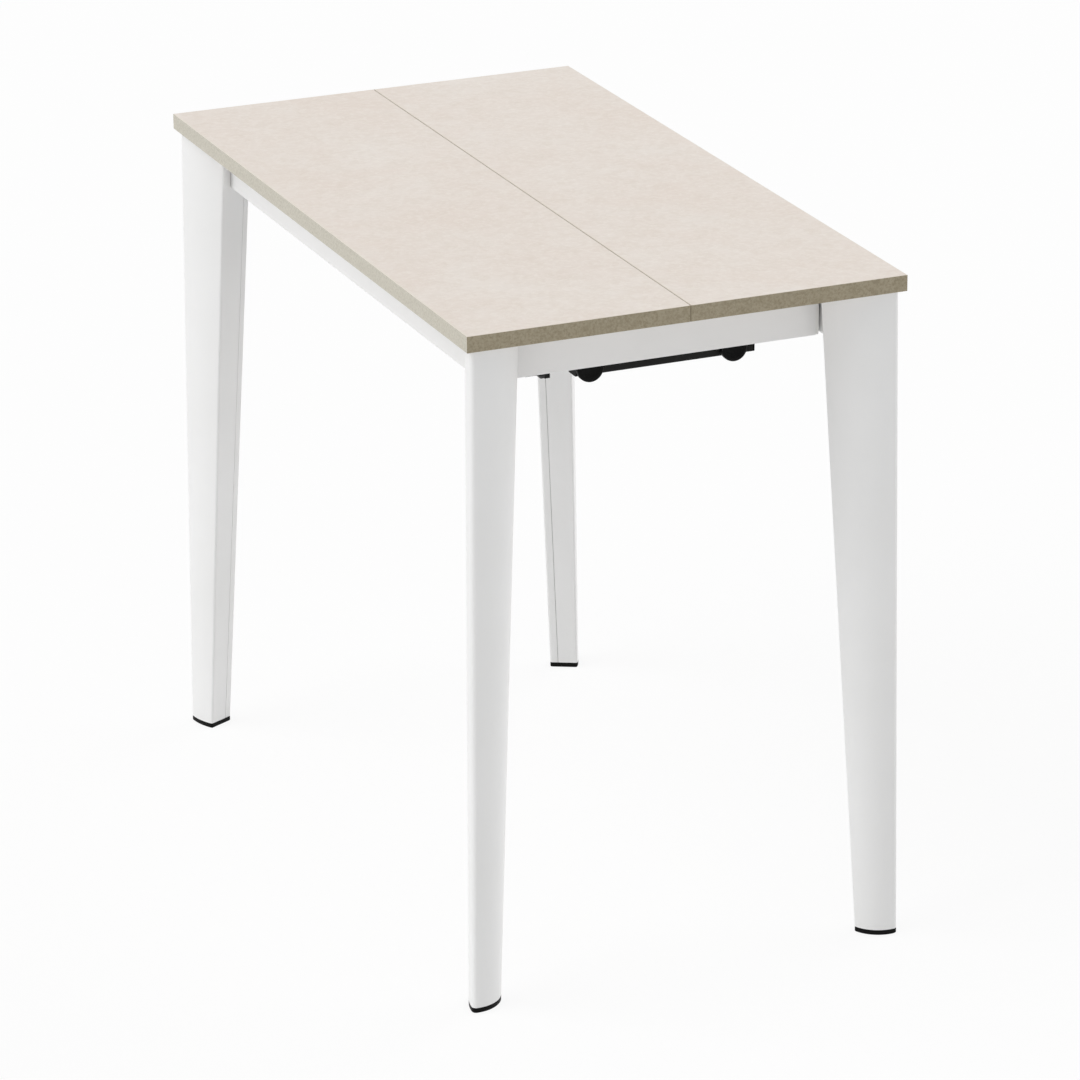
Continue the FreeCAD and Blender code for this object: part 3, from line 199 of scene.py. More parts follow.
# Passivated zinc: a pale metal with a bluish to straw drift, slightly dull.
ZINC_BLUISH = linear("#AFB6BC")
ZINC_STRAW = linear("#CBC7BA")
ZINC_CLOUD_MM = 4
zinc, tree, shader, place = start_finish("passivated_zinc", Metallic=1.0)
bath = add_node(tree, "TexNoise", {"Vector": place, "Scale": METRE_MM / ZINC_CLOUD_MM,
                                   "Detail": 3.0})
plate = add_node(tree, "Mix", {SHARE: bath.outputs["Fac"], LOW: ZINC_BLUISH, HIGH: ZINC_STRAW},
                 data_type="RGBA")
tree.links.new(plate.outputs[BLEND], shader.inputs["Base Color"])
gloss = add_node(tree, "MapRange", {"Value": bath.outputs["Fac"], "To Min": 0.24, "To Max": 0.42})
tree.links.new(gloss.outputs["Result"], shader.inputs["Roughness"])


def solids_of(node):
    """Points of each solid in a CAD node, in order."""
    shape = bmesh.new()
    shape.from_mesh(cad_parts[node].data)
    bmesh.ops.remove_doubles(shape, verts=shape.verts, dist=MERGE)
    solids = []
    for vert in shape.verts:
        if not vert.tag:
            vert.tag = True
            solid = [vert]
            for reached in solid:
                for edge in reached.link_edges:
                    other = edge.other_vert(reached)
                    if not other.tag:
                        other.tag = True
                        solid.append(other)
            solids.append([reached.co.copy() for reached in solid])
    shape.free()
    return solids


def box_of(points):
    """Lowest and highest corner of some points."""
    return [Vector([pick(point[way] for point in points) for way in range(3)])
            for pick in (min, max)]


def spun(profile, steps):
    """A body turned about Z from its profile of (radius, height)."""
    part = bmesh.new()
    points = [part.verts.new((radius, 0, height)) for radius, height in profile]
    lines = [part.edges.new(pair) for pair in zip(points, points[1:])]
    bmesh.ops.spin(part, geom=points + lines, cent=(0, 0, 0), axis=(0, 0, 1), angle=2 * math.pi,
                   steps=steps, use_merge=True)
    bmesh.ops.remove_doubles(part, verts=part.verts, dist=MERGE)
    return part


def place_in(shape, part, spot, way):
    """Adds a finished part to a piece, at a spot and with its Z turned to face a way."""
    aim = Vector(way).to_track_quat("Z", "Y").to_matrix().to_4x4()
    bmesh.ops.transform(part, matrix=Matrix.Translation(spot) @ aim, verts=part.verts)
    bmesh.ops.recalc_face_normals(part, faces=part.faces)
    spare = bpy.data.meshes.new("spare")
    part.to_mesh(spare)
    part.free()
    shape.from_mesh(spare)
    bpy.data.meshes.remove(spare)


def add_fastener(shape, points, axis, recess):
    """One screw or bolt in the room of its CAD solid, with a drive recess and a thread."""
    lows, highs = box_of(points)
    spot = (lows + highs) / 2
    others = [way for way in range(3) if way != axis]
    reach = [(point[axis], math.hypot(*(point[way] - spot[way] for way in others)))
             for point in points]
    low_radius, high_radius = (max(radius for level, radius in reach
                                   if abs(level - end[axis]) < MERGE) for end in (lows, highs))
    head, shank = max(low_radius, high_radius), min(low_radius, high_radius)
    inward = 1 if low_radius > high_radius else -1
    spot[axis] = lows[axis] if inward == 1 else highs[axis]
    length = highs[axis] - lows[axis]
    height = max(abs(level - spot[axis]) for level, radius in reach
                 if radius > (head + shank) / 2)
    root = shank * THREAD_ROOT
    pitch = shank * THREAD_PITCH
    profile = [(head * width, height * level) for width, level in HEAD_CURVE] + [(root, height)]
    for turn in range(int((length - height - shank * PLAIN_END) / pitch)):
        profile += [(shank, height + (turn + 0.5) * pitch), (root, height + (turn + 1) * pitch)]
    part = spun(profile + [(shank * SHANK_TIP, length), (0, length)], SCREW_STEPS)
    mouth = [edge for edge in part.edges if edge.is_boundary]
    corners = [part.verts.new((across * head, along * head, 0)) for across, along in recess]
    rim = [part.edges.new(pair) for pair in zip(corners, corners[1:] + corners[:1])]
    bmesh.ops.subdivide_edges(part, edges=rim, cuts=SCREW_STEPS // len(recess) - 1)
    rim = [edge for edge in part.edges if edge.is_wire]
    bmesh.ops.bridge_loops(part, edges=mouth + rim)
    sunk = bmesh.ops.extrude_edge_only(part, edges=rim)["geom"]
    sunk_verts = [item for item in sunk if isinstance(item, bmesh.types.BMVert)]
    bmesh.ops.scale(part, vec=(RECESS_TAPER, RECESS_TAPER, 1), verts=sunk_verts)
    bmesh.ops.translate(part, vec=(0, 0, height * RECESS_DEPTH), verts=sunk_verts)
    bmesh.ops.contextual_create(part, geom=[item for item in sunk
                                            if isinstance(item, bmesh.types.BMEdge)])
    place_in(shape, part, spot, [inward if way == axis else 0 for way in range(3)])


for side in ("left", "right"):
    shape = bmesh.new()
    for solid in solids_of(f"apron_bolts_{side}"):
        add_fastener(shape, solid, 0, HEXAGON)
    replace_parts(add_piece(f"button_bolts_{side}", shape, f"{side}_end", zinc),
                f"apron_bolts_{side}")

# Guides: extruded aluminium members that slide side by side, five to a guide. The outer ones show
# under the top and are coated white with the legs; the others keep the finish of the press.
dress(white_coat, "guide_front_outer", "guide_rear_outer")

# Aluminium straight from the die: a soft metal grey, with fine lines drawn along its length by the
# die. They are drawn coarse enough to show.
MILL_DULL = linear("#B4B6B8")
MILL_BRIGHT = linear("#D2D4D5")
LINE_MM = 0.6
LINE_STRETCH = 0.004
mill, tree, shader, place = start_finish("mill_aluminium", Metallic=1.0)
drawn = add_node(tree, "Mapping", {"Vector": place, "Scale": (LINE_STRETCH, 1.0, 1.0)})
lines = add_node(tree, "TexNoise", {"Vector": drawn.outputs["Vector"], "Scale": METRE_MM / LINE_MM,
                                    "Detail": 3.0})
bright = add_node(tree, "Mix", {SHARE: lines.outputs["Fac"], LOW: MILL_DULL, HIGH: MILL_BRIGHT},
                  data_type="RGBA")
tree.links.new(bright.outputs[BLEND], shader.inputs["Base Color"])
gloss = add_node(tree, "MapRange", {"Value": lines.outputs["Fac"], "To Min": 0.28, "To Max": 0.46})
tree.links.new(gloss.outputs["Result"], shader.inputs["Roughness"])
scored = add_node(tree, "Bump", {"Height": lines.outputs["Fac"], "Strength": 0.15,
                                 "Distance": 0.00004})
tree.links.new(scored.outputs["Normal"], shader.inputs["Normal"])
dress(mill, *[f"guide_{end}_{stage}" for end in ("front", "rear")
              for stage in ("stage_1", "stage_2", "stage_3", "inner")])

# Glides: nylon sleeves clipped on the ribs and into the slots of the members. They carry the load
# and stop the members at full pull.

# Natural nylon: milky and slightly waxy, with light going a little way in.
NYLON_DULL = linear("#D8D5C9")
NYLON_MILKY = linear("#E4E2D9")
MILK_MM = 14
FLOW_MM = 3
nylon, tree, shader, place = start_finish("natural_nylon", Roughness=0.38, IOR=1.53,
                                          Subsurface_Weight=0.25, Subsurface_Scale=0.002)
milky = add_node(tree, "TexNoise", {"Vector": place, "Scale": METRE_MM / MILK_MM, "Detail": 3.0})
wax = add_node(tree, "Mix", {SHARE: milky.outputs["Fac"], LOW: NYLON_DULL, HIGH: NYLON_MILKY},
               data_type="RGBA")
tree.links.new(wax.outputs[BLEND], shader.inputs["Base Color"])
flow = add_node(tree, "TexNoise", {"Vector": place, "Scale": METRE_MM / FLOW_MM, "Detail": 2.0})
ripple = add_node(tree, "Bump", {"Height": flow.outputs["Fac"], "Strength": 0.15,
                                 "Distance": 0.00005})
tree.links.new(ripple.outputs["Normal"], shader.inputs["Normal"])
dress(nylon, "rib_glides_outer", "slot_glides_inner",
      *[f"{kind}_glides_stage_{step}" for kind in ("rib", "slot") for step in (1, 2, 3)])

# End caps: white polyamide plates that close the free ends of the two outer members. They are
# moulded with plugs that push into the member's chambers.

# Moulded polyamide, matched to the powder coat: a little glossier, with a finer grain.
END_CAP_DULL = linear("#E6E6E3")
END_CAP_WHITE = linear("#EDEDEB")
END_CAP_CLOUD_MM = 20
white_plastic, tree, shader, place = start_finish("moulded_white_plastic", Roughness=0.4, IOR=1.53)
batch = add_node(tree, "TexNoise", {"Vector": place, "Scale": METRE_MM / END_CAP_CLOUD_MM,
                                    "Detail": 2.0})
tint = add_node(tree, "Mix", {SHARE: batch.outputs["Fac"], LOW: END_CAP_DULL, HIGH: END_CAP_WHITE},
                data_type="RGBA")
tree.links.new(tint.outputs[BLEND], shader.inputs["Base Color"])
grain = add_node(tree, "TexNoise", {"Vector": place, "Scale": METRE_MM / GRAIN_MM, "Detail": 2.0})
sparks = add_node(tree, "Bump", {"Height": grain.outputs["Fac"], "Strength": 0.2,
                                 "Distance": 0.00003})
tree.links.new(sparks.outputs["Normal"], shader.inputs["Normal"])
dress(white_plastic, "guide_caps_outer")

# End plates: aluminium blocks, sawn and drilled, between the aprons and the outer and inner
# members. Screws through each plate hold it to both.
dress(mill, *[f"end_plate_{end}_{side}" for end in ("front", "rear") for side in ("left", "right")])

# Plate screws: pan-head screws with a cross recess, through each end plate into the apron and into
# the screw ports of the guide. Zinc-plated steel.
CROSS_SHARE = 0.48
ARM = 0.3
CROSS = [(across * CROSS_SHARE, along * CROSS_SHARE) for across, along in (
    (1, ARM), (ARM, ARM), (ARM, 1), (-ARM, 1), (-ARM, ARM), (-1, ARM),
    (-1, -ARM), (-ARM, -ARM), (-ARM, -1), (ARM, -1), (ARM, -ARM), (1, -ARM))]
for side in ("left", "right"):
    shape = bmesh.new()
    for solid in solids_of(f"end_plate_screws_{side}"):
        add_fastener(shape, solid, 0, CROSS)
    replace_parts(add_piece(f"plate_screws_{side}", shape, f"{side}_end", zinc),
                f"end_plate_screws_{side}")

# Support pads and packers: nylon strips that keep the top off the guides, and thinner ones that
# keep the middle stage's strip and brackets clear of the members beside it.
dress(nylon, "support_pads_left", "support_pads_right", "stage_spacers")

# Middle stage: a black steel strip ties the front and rear members, with a bent bracket at each end
# for the support leg that hangs there.

# Black powder coat, finely textured: a dull charcoal skin that hides the steel's grain. The texture
# is drawn coarse enough to show.
CHARCOAL = linear("#131312")
CHARCOAL_PALE = linear("#1B1A18")
CHARCOAL_CLOUD_MM = 40
TEXTURE_MM = 0.9
black_coat, tree, shader, place = start_finish("black_powder_coat", Roughness=0.48, IOR=1.5,
                                               Specular_IOR_Level=0.16)
film = add_node(tree, "TexNoise", {"Vector": place, "Scale": METRE_MM / CHARCOAL_CLOUD_MM,
                                   "Detail": 3.0})
cloud = add_node(tree, "Mix", {SHARE: film.outputs["Fac"], LOW: CHARCOAL, HIGH: CHARCOAL_PALE},
                 data_type="RGBA")
tree.links.new(cloud.outputs[BLEND], shader.inputs["Base Color"])
texture = add_node(tree, "TexNoise", {"Vector": place, "Scale": METRE_MM / TEXTURE_MM,
                                      "Detail": 2.0})
pebble = add_node(tree, "Bump", {"Height": texture.outputs["Fac"], "Strength": 0.4,
                                 "Distance": 0.00006})
tree.links.new(pebble.outputs["Normal"], shader.inputs["Normal"])
dress(black_coat, "cross_tie", "pivot_bracket_front", "pivot_bracket_rear")

# Magnets: pot magnets on the arms of the middle stage's strip, which hold the folded support legs
# up. Pressed magnet in a steel pot, nickel plated.

# Bright nickel plate: a warm silver with faint plating clouds.
NICKEL_DULL = linear("#BDB9B0")
NICKEL_BRIGHT = linear("#CFCBC3")
NICKEL_CLOUD_MM = 5
nickel, tree, shader, place = start_finish("nickel_plate", Metallic=1.0)
bath = add_node(tree, "TexNoise", {"Vector": place, "Scale": METRE_MM / NICKEL_CLOUD_MM,
                                   "Detail": 3.0})
plate = add_node(tree, "Mix", {SHARE: bath.outputs["Fac"], LOW: NICKEL_DULL, HIGH: NICKEL_BRIGHT},
                 data_type="RGBA")
tree.links.new(plate.outputs[BLEND], shader.inputs["Base Color"])
gloss = add_node(tree, "MapRange", {"Value": bath.outputs["Fac"], "To Min": 0.16, "To Max": 0.3})
tree.links.new(gloss.outputs["Result"], shader.inputs["Roughness"])
dress(nickel, "magnet_catches")

# Stage screws: the same pan-head screws in zinc-plated steel, up through the strip and the brackets
# into the middle members.
shape = bmesh.new()
for solid in solids_of("stage_screws"):
    add_fastener(shape, solid, 2, CROSS)
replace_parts(add_piece("middle_stage_screws", shape, "stage_2", zinc), "stage_screws")

# Hinge pins: plain steel pins through the bracket's cheeks and the support leg's eye. They are
# riveted over at both ends and zinc plated.
PIN_STEPS = 40
# Shares of the head's radius: the head's height and the shank's radius.
PIN_HEAD_HEIGHT, PIN_SHANK = 0.42, 0.66
# The head's outline from its crown inwards: shares of its radius and of its height.
RIVET_CURVE = ((0, 0), (0.55, 0.12), (0.85, 0.4), (1, 0.8), (1, 1))
shape = bmesh.new()
for solid in solids_of("pivot_pins"):
    lows, highs = box_of(solid)
    length = highs.x - lows.x
    head = (highs.y - lows.y) / 2
    height = head * PIN_HEAD_HEIGHT
    profile = [(head * width, height * level) for width, level in RIVET_CURVE]
    profile += [(head * PIN_SHANK, height)]
    profile += [(radius, length - rise) for radius, rise in profile[::-1]]
    middle = (lows + highs) / 2
    place_in(shape, spun(profile, PIN_STEPS), (lows.x, middle.y, middle.z), (1, 0, 0))
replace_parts(add_piece("riveted_pins", shape, "stage_2", zinc), "pivot_pins")

# Support legs: square steel tube, welded and coated black, folded up under the top. Each has a foot
# bar with two round glides on its sole and a plug in each open end.
dress(black_coat, "support_leg_front", "support_leg_rear")
dress(black_plastic, *[f"leg_plugs_{end}" for end in ("front", "rear")])

# Weld runs: the fillets where each post meets its foot bar and where the hinge eye leaves the post.
# Their ripples stay visible under the black coat.
POST_INNER, POST_OUTER = 0.108925, 0.128925
POST_END = 0.310
BAR_BACK = -0.312
EYE_OUTER = 0.116425
TUBE_LOW, TUBE_HIGH = 0.656, 0.676
FACE_INSET = 0.0009
EYE_INSET = 0.0025
SIDE_RUN, FACE_RUN, EYE_RUN = 0.0022, 0.0014, 0.0018
RUNS = (
    ((POST_INNER, BAR_BACK, TUBE_LOW), (POST_INNER, BAR_BACK, TUBE_HIGH), SIDE_RUN),
    ((POST_INNER, BAR_BACK, TUBE_LOW + FACE_INSET),
     (POST_OUTER, BAR_BACK, TUBE_LOW + FACE_INSET), FACE_RUN),
    ((POST_INNER, BAR_BACK, TUBE_HIGH - FACE_INSET),
     (POST_OUTER, BAR_BACK, TUBE_HIGH - FACE_INSET), FACE_RUN),
    ((EYE_OUTER, POST_END, TUBE_LOW + EYE_INSET), (EYE_OUTER, POST_END, TUBE_HIGH - EYE_INSET),
     EYE_RUN),
)
RIPPLE = 0.0011
# A ripple's trough as a share of the run's radius, and where its trough and crest lie along it.
TROUGH, TROUGH_AT, CREST_AT = 0.86, 0.15, 0.55
WELD_STEPS = 20
for end, turn in (("rear", 0), ("front", math.pi)):
    shape = bmesh.new()
    for start, stop, radius in RUNS:
        way = Vector(stop) - Vector(start)
        profile = [(0, 0)]
        for step in range(round(way.length / RIPPLE)):
            profile += [(radius * TROUGH, (step + TROUGH_AT) * RIPPLE),
                        (radius, (step + CREST_AT) * RIPPLE)]
        profile = [(size, min(height, way.length)) for size, height in profile + [(0, way.length)]]
        place_in(shape, spun(profile, WELD_STEPS), start, way)
    bmesh.ops.rotate(shape, cent=(0, 0, 0), matrix=Matrix.Rotation(turn, 3, "Z"),
                     verts=shape.verts)
    add_piece(f"leg_welds_{end}", shape, f"support_leg_{end}", black_coat)

# Round glides: black plastic discs on the sole of each foot bar, moulded with a dished tread and a
# stem that snaps into the tube.
DISC_STEPS = 72
# The disc's outline from the middle of its tread: shares of its radius, and heights in metres.
DISC_CURVE = ((0, 0.0009), (0.55, 0.0009), (0.62, 0.0003), (0.7, 0), (0.86, 0), (0.94, 0.0006),
              (0.985, 0.0015), (1, 0.0028), (1, 0.0066), (0.97, 0.0076), (0.92, 0.008))
COLLAR_RADIUS = 0.007
COLLAR_FOOT, COLLAR_TOP = 0.008, 0.01
STEM_RADIUS, STEM_TIP = 0.004, 0.003
STEM_POINT = 0.001
for end, outward in (("rear", 1), ("front", -1)):
    shape = bmesh.new()
    for solid in solids_of(f"leg_glides_{end}"):
        lows, highs = box_of(solid)
        middle = (lows + highs) / 2
        disc = (highs.x - lows.x) / 2
        depth = highs.y - lows.y
        profile = [(disc * width, height) for width, height in DISC_CURVE]
        profile += [(COLLAR_RADIUS, COLLAR_FOOT), (COLLAR_RADIUS, COLLAR_TOP),
                    (STEM_RADIUS, COLLAR_TOP), (STEM_RADIUS, depth - STEM_POINT),
                    (STEM_TIP, depth), (0, depth)]
        sole = lows.y if outward == 1 else highs.y
        place_in(shape, spun(profile, DISC_STEPS), (middle.x, sole, middle.z), (0, outward, 0))
    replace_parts(add_piece(f"sole_glides_{end}", shape, f"support_leg_{end}",
                          black_plastic), f"leg_glides_{end}")

# Top: two chipboard halves faced with stone-look melamine, which meet on a hairline seam. Each is
# screwed to its apron from below and rests on the pads of the guides.

# Printed melamine: a cool sand stone that drifts to a warmer one in patches a hand wide, with a
# darker mottle and small pale flecks, all within a few shades. A light emboss takes the gloss off.
STONE_COOL = linear("#E6DED6")
STONE_WARM = linear("#E2D6CC")
MOTTLE_DARK = linear("#D8CCBF")
FLECK_PALE = linear("#EFE8E0")
PATCH_MM = 130
MOTTLE_MM = 16
FLECK_MM = 6
stone, tree, shader, place = start_finish("stone_melamine", Roughness=0.46, IOR=1.5)
patch = add_node(tree, "TexNoise", {"Vector": place, "Scale": METRE_MM / PATCH_MM, "Detail": 6.0,
                                    "Roughness": 0.62, "Distortion": 0.4})
patch_share = add_node(tree, "MapRange", {"Value": patch.outputs["Fac"], "From Min": 0.32,
                                          "From Max": 0.68})
ground = add_node(tree, "Mix", {SHARE: patch_share.outputs["Result"], LOW: STONE_COOL,
                                HIGH: STONE_WARM}, data_type="RGBA")
mottle = add_node(tree, "TexNoise", {"Vector": place, "Scale": METRE_MM / MOTTLE_MM, "Detail": 5.0,
                                     "Roughness": 0.65, "Distortion": 0.6})
mottle_share = add_node(tree, "MapRange", {"Value": mottle.outputs["Fac"], "From Min": 0.42,
                                           "From Max": 0.78, "To Max": 0.6})
mottled = add_node(tree, "Mix", {SHARE: mottle_share.outputs["Result"], LOW: ground.outputs[BLEND],
                                 HIGH: MOTTLE_DARK}, data_type="RGBA")
fleck = add_node(tree, "TexNoise", {"Vector": place, "Scale": METRE_MM / FLECK_MM, "Detail": 4.0,
                                    "Roughness": 0.7})
fleck_share = add_node(tree, "MapRange", {"Value": fleck.outputs["Fac"], "From Min": 0.46,
                                          "From Max": 0.74, "To Max": 0.6})
printed = add_node(tree, "Mix", {SHARE: fleck_share.outputs["Result"], LOW: mottled.outputs[BLEND],
                                 HIGH: FLECK_PALE}, data_type="RGBA")
tree.links.new(printed.outputs[BLEND], shader.inputs["Base Color"])
emboss = add_node(tree, "Bump", {"Height": fleck.outputs["Fac"], "Strength": 0.2,
                                 "Distance": 0.00006})
tree.links.new(emboss.outputs["Normal"], shader.inputs["Normal"])
dress(stone, "top_left", "top_right")

# Edging: a millimetre of ABS band, glued round each half and trimmed flush. It is printed in the
# stone's darker body colour, and its arris is scraped round.

# Printed ABS: a taupe ground with sandy specks about a millimetre wide, with a soft gloss. The long
# edges, which face the key light, are painted paler as a painted sheen, and the short ones darker
# as painted shade. The scraped arris shows as a thin pale line, and along the seam, where the
# halves rub, as a darker one. The short edges have a dark line at the seam, where the bands of the
# two halves butt.
# Painted shade on the short edges and a painted sheen on the long ones: the two tones differ only
# by which way each edge faces the light.
SHORT_SHADED_DARK, SHORT_SHADED_PALE = linear("#968B72"), linear("#AA9F88")
LONG_SHEEN_DARK, LONG_SHEEN_PALE = linear("#BDB8A9"), linear("#C9C4B6")
SHORT_SHADED_SPECK, LONG_SHEEN_SPECK = linear("#857A60"), linear("#ABA594")
BUTT_DARK = linear("#867B62")
ARRIS_PALE, ARRIS_RUBBED = linear("#E3DBCE"), linear("#CBC0B1")
BAND_CLOUD_MM = 18
SPECK_MM = 2.4
BAND_THICKNESS = 0.001
RUBBED_REACH = 2 * BAND_THICKNESS
BUTT_REACH = 0.8 * BAND_THICKNESS
band, tree, shader, place = start_finish("stone_abs_band", Roughness=0.36, IOR=1.54)
facing = add_node(tree, "SeparateXYZ", {0: add_node(tree, "TexCoord", {}).outputs["Normal"]})
# Share of painted sheen: 1 on the long edges, which face the light, and 0 on the short, shaded
# ones.
painted_sheen_share = add_node(tree, "Math", {0: facing.outputs["X"]}, operation="ABSOLUTE")
drift = add_node(tree, "TexNoise", {"Vector": place, "Scale": METRE_MM / BAND_CLOUD_MM,
                                    "Detail": 4.0})
short_shaded_ground = add_node(tree, "Mix", {SHARE: drift.outputs["Fac"], LOW: SHORT_SHADED_DARK,
                                      HIGH: SHORT_SHADED_PALE}, data_type="RGBA")
long_sheen_ground = add_node(tree, "Mix", {SHARE: drift.outputs["Fac"], LOW: LONG_SHEEN_DARK,
                                     HIGH: LONG_SHEEN_PALE}, data_type="RGBA")
speck = add_node(tree, "TexNoise", {"Vector": place, "Scale": METRE_MM / SPECK_MM, "Detail": 3.0,
                                    "Roughness": 0.7})
speck_share = add_node(tree, "MapRange", {"Value": speck.outputs["Fac"], "From Min": 0.42,
                                          "From Max": 0.68})
short_shaded_edge = add_node(tree, "Mix", {SHARE: speck_share.outputs["Result"],
                                    LOW: short_shaded_ground.outputs[BLEND], HIGH: SHORT_SHADED_SPECK},
                      data_type="RGBA")
long_sheen_edge = add_node(tree, "Mix", {SHARE: speck_share.outputs["Result"],
                                   LOW: long_sheen_ground.outputs[BLEND], HIGH: LONG_SHEEN_SPECK},
                     data_type="RGBA")
# The band's colour with its painted light: sheen on the long edges, shade on the short ones.
sandy_with_painted_light = add_node(tree, "Mix", {SHARE: painted_sheen_share.outputs[0], LOW: short_shaded_edge.outputs[BLEND],
                               HIGH: long_sheen_edge.outputs[BLEND]}, data_type="RGBA")
spot = add_node(tree, "SeparateXYZ", {0: place})
at_seam = add_node(tree, "Math", {0: spot.outputs["X"], 1: 0.0, 2: RUBBED_REACH},
                   operation="COMPARE")
at_butt = add_node(tree, "Math", {0: spot.outputs["X"], 1: 0.0, 2: BUTT_REACH},
                   operation="COMPARE")
butted = add_node(tree, "Mix", {SHARE: at_butt.outputs[0], LOW: sandy_with_painted_light.outputs[BLEND],
                                HIGH: BUTT_DARK}, data_type="RGBA")
upper = add_node(tree, "Mix", {SHARE: at_seam.outputs[0], LOW: ARRIS_PALE, HIGH: ARRIS_RUBBED},
                 data_type="RGBA")
scraped = add_node(tree, "MapRange", {"Value": facing.outputs["Z"], "From Min": 0.35,
                                      "From Max": 0.75})
arris = add_node(tree, "Mix", {SHARE: scraped.outputs["Result"], LOW: butted.outputs[BLEND],
                               HIGH: upper.outputs[BLEND]}, data_type="RGBA")
tree.links.new(arris.outputs[BLEND], shader.inputs["Base Color"])
dress(band, "top_edging_left", "top_edging_right")

# Dowels: turned beech pegs that line the two halves up. They are glued into the left half's seam
# edge and slip into holes in the right half's.

# Beech: pinkish tan with short darker rays along the grain.
BEECH_DARK = linear("#A9805A")
BEECH_TAN = linear("#D3B08A")
RAY_MM = 0.8
RAY_STRETCH = 0.15
beech, tree, shader, place = start_finish("turned_beech", Roughness=0.6, IOR=1.5)
grown = add_node(tree, "Mapping", {"Vector": place, "Scale": (RAY_STRETCH, 1.0, 1.0)})
ray = add_node(tree, "TexNoise", {"Vector": grown.outputs["Vector"], "Scale": METRE_MM / RAY_MM,
                                  "Detail": 4.0})
wood = add_node(tree, "Mix", {SHARE: ray.outputs["Fac"], LOW: BEECH_DARK, HIGH: BEECH_TAN},
                data_type="RGBA")
tree.links.new(wood.outputs[BLEND], shader.inputs["Base Color"])
turned = add_node(tree, "Bump", {"Height": ray.outputs["Fac"], "Strength": 0.3,
                                 "Distance": 0.0001})
tree.links.new(turned.outputs["Normal"], shader.inputs["Normal"])
dress(beech, "seam_dowels")

# Top screws: pan-head screws in zinc-plated steel, up through each apron into the board. A driver
# reaches them by the holes under the apron.
for side in ("left", "right"):
    shape = bmesh.new()
    for solid in solids_of(f"top_screws_{side}"):
        add_fastener(shape, solid, 2, CROSS)
    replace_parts(add_piece(f"board_screws_{side}", shape, f"{side}_end", zinc),
                f"top_screws_{side}")

# Floor: a plain pale studio sweep. Seen by the camera it is mostly its own white, with enough of
# its real surface left to keep the table's shadow. From underneath it is clear, so that the table's
# underside shows.
FLOOR_RADIUS = 14
FLOOR_SIDES = 96
FLOOR_OWN_WHITE = 0.88
shape = bmesh.new()
bmesh.ops.create_circle(shape, cap_ends=True, segments=FLOOR_SIDES, radius=FLOOR_RADIUS)
floor_mesh = bpy.data.meshes.new("studio_floor")
shape.to_mesh(floor_mesh)
shape.free()
floor = bpy.data.objects.new("studio_floor", floor_mesh)
bpy.context.scene.collection.objects.link(floor)


def seen_share(tree):
    """1 where the camera looks, straight or by way of a mirror or glass, and 0 elsewhere."""
    rays = add_node(tree, "LightPath", {}).outputs
    mirrored = add_node(tree, "Math", {0: rays["Is Camera Ray"], 1: rays["Is Glossy Ray"]},
                        operation="MAXIMUM")
    seen = add_node(tree, "Math", {0: mirrored.outputs[0], 1: rays["Is Transmission Ray"]},
                    operation="MAXIMUM")
    return seen.outputs[0]


# Matt background paper: white, with a slow drift of tone.
PAPER_DULL = linear("#F4F4F4")
PAPER_WHITE = linear("#F7F7F7")
PAPER_CLOUD_MM = 400
paper, tree, shader, place = start_finish("studio_paper", Roughness=0.9)
fibre = add_node(tree, "TexNoise", {"Vector": place, "Scale": METRE_MM / PAPER_CLOUD_MM,
                                    "Detail": 2.0})
pulp = add_node(tree, "Mix", {SHARE: fibre.outputs["Fac"], LOW: PAPER_DULL, HIGH: PAPER_WHITE},
                data_type="RGBA")
tree.links.new(pulp.outputs[BLEND], shader.inputs["Base Color"])
own_share = add_node(tree, "Math", {0: seen_share(tree), 1: FLOOR_OWN_WHITE}, operation="MULTIPLY")
white = add_node(tree, "Emission", {"Color": (1, 1, 1, 1), "Strength": 1.0})
sweep = add_node(tree, "MixShader", {0: own_share.outputs[0], 1: shader.outputs[0],
                                     2: white.outputs[0]})
below = add_node(tree, "NewGeometry", {})
clear = add_node(tree, "BsdfTransparent", {})
one_way = add_node(tree, "MixShader", {0: below.outputs["Backfacing"], 1: sweep.outputs[0],
                                       2: clear.outputs[0]})
tree.links.new(one_way.outputs[0], tree.nodes["Material Output"].inputs["Surface"])
floor_mesh.materials.append(paper)

# Light: an even white studio all round, one large soft light high on the left, one low on the
# right, and two weak ones, low on the left and low in front, which open up the inner sides of the
# legs. Surfaces mirror the studio and not the lights, so that the top doesn't glare.
FILL = 0.45
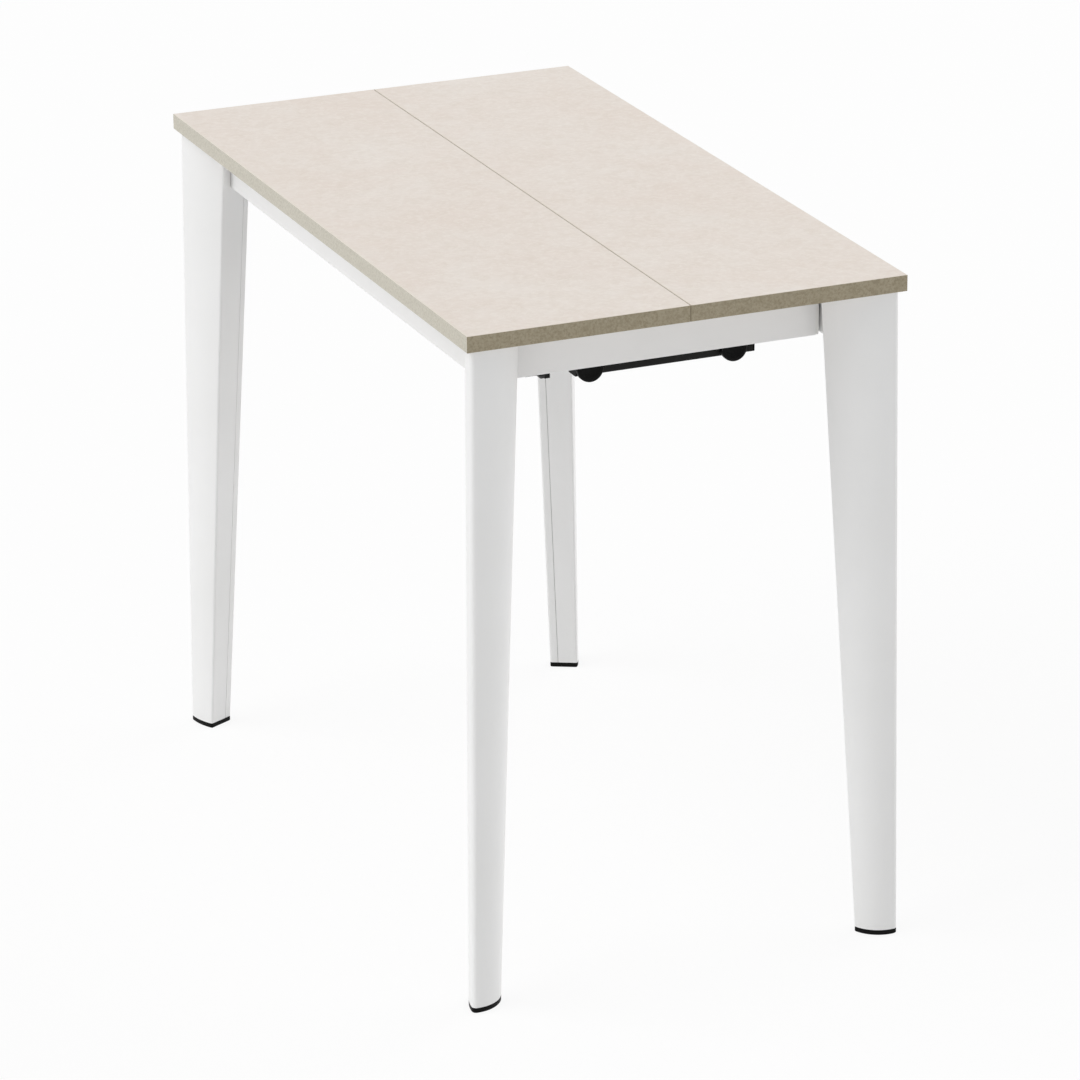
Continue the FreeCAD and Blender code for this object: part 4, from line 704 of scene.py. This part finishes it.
# Each light's name, strength, the way it comes from, and how many degrees wide it is.
SOFT_LIGHTS = (
    ("key_light", 1.37, (-0.72, 0.14, 0.68), 50),
    ("right_light", 1.55, (0.92, 0.14, 0.30), 60),
    ("left_light", 0.28, (-0.90, -0.32, 0.28), 60),
    ("front_light", 0.22, (0.10, -0.98, 0.08), 60),
)
world = bpy.data.worlds.new("studio")
bpy.context.scene.world = world
world.use_nodes = True
tree = world.node_tree
strength = add_node(tree, "MapRange", {"Value": seen_share(tree), "To Min": FILL, "To Max": 1.0})
studio = tree.nodes["Background"].inputs
studio["Color"].default_value = (1, 1, 1, 1)
tree.links.new(strength.outputs["Result"], studio["Strength"])
for name, energy, source, spread in SOFT_LIGHTS:
    lamp = bpy.data.objects.new(name, bpy.data.lights.new(name, "SUN"))
    lamp.data.energy = energy
    lamp.data.angle = math.radians(spread)
    lamp.rotation_mode = "QUATERNION"
    lamp.rotation_quaternion = Vector(source).to_track_quat("Z", "Y")
    lamp.visible_glossy = False
    bpy.context.scene.collection.objects.link(lamp)

# Camera: a long lens, from the left and above, turned a little off level as in the photograph. In
# the square frame the sensor's width and the lens set how much it takes in.
CAMERA_PLACE = Vector((-2.1608, -5.1694, 2.4552))
CAMERA_AZIMUTH = math.radians(-22.859)
CAMERA_ELEVATION = math.radians(20.625)
CAMERA_ROLL = math.radians(-0.475)
SENSOR_MM = 36
LENS_MM = 176.05
FARTHEST = 60
camera = bpy.data.objects.new("camera", bpy.data.cameras.new("camera"))
camera.data.sensor_width = SENSOR_MM
camera.data.lens = LENS_MM
camera.data.clip_end = FARTHEST
back = Vector((math.sin(CAMERA_AZIMUTH) * math.cos(CAMERA_ELEVATION),
               -math.cos(CAMERA_AZIMUTH) * math.cos(CAMERA_ELEVATION),
               math.sin(CAMERA_ELEVATION)))
right = Vector((math.cos(CAMERA_AZIMUTH), math.sin(CAMERA_AZIMUTH), 0))
level = Matrix((right, back.cross(right), back)).transposed()
turned_level = level @ Matrix.Rotation(CAMERA_ROLL, 3, "Z")
camera.matrix_world = Matrix.Translation(CAMERA_PLACE) @ turned_level.to_4x4()
bpy.context.scene.collection.objects.link(camera)
bpy.context.scene.camera = camera
bpy.context.scene.view_settings.view_transform = "Standard"
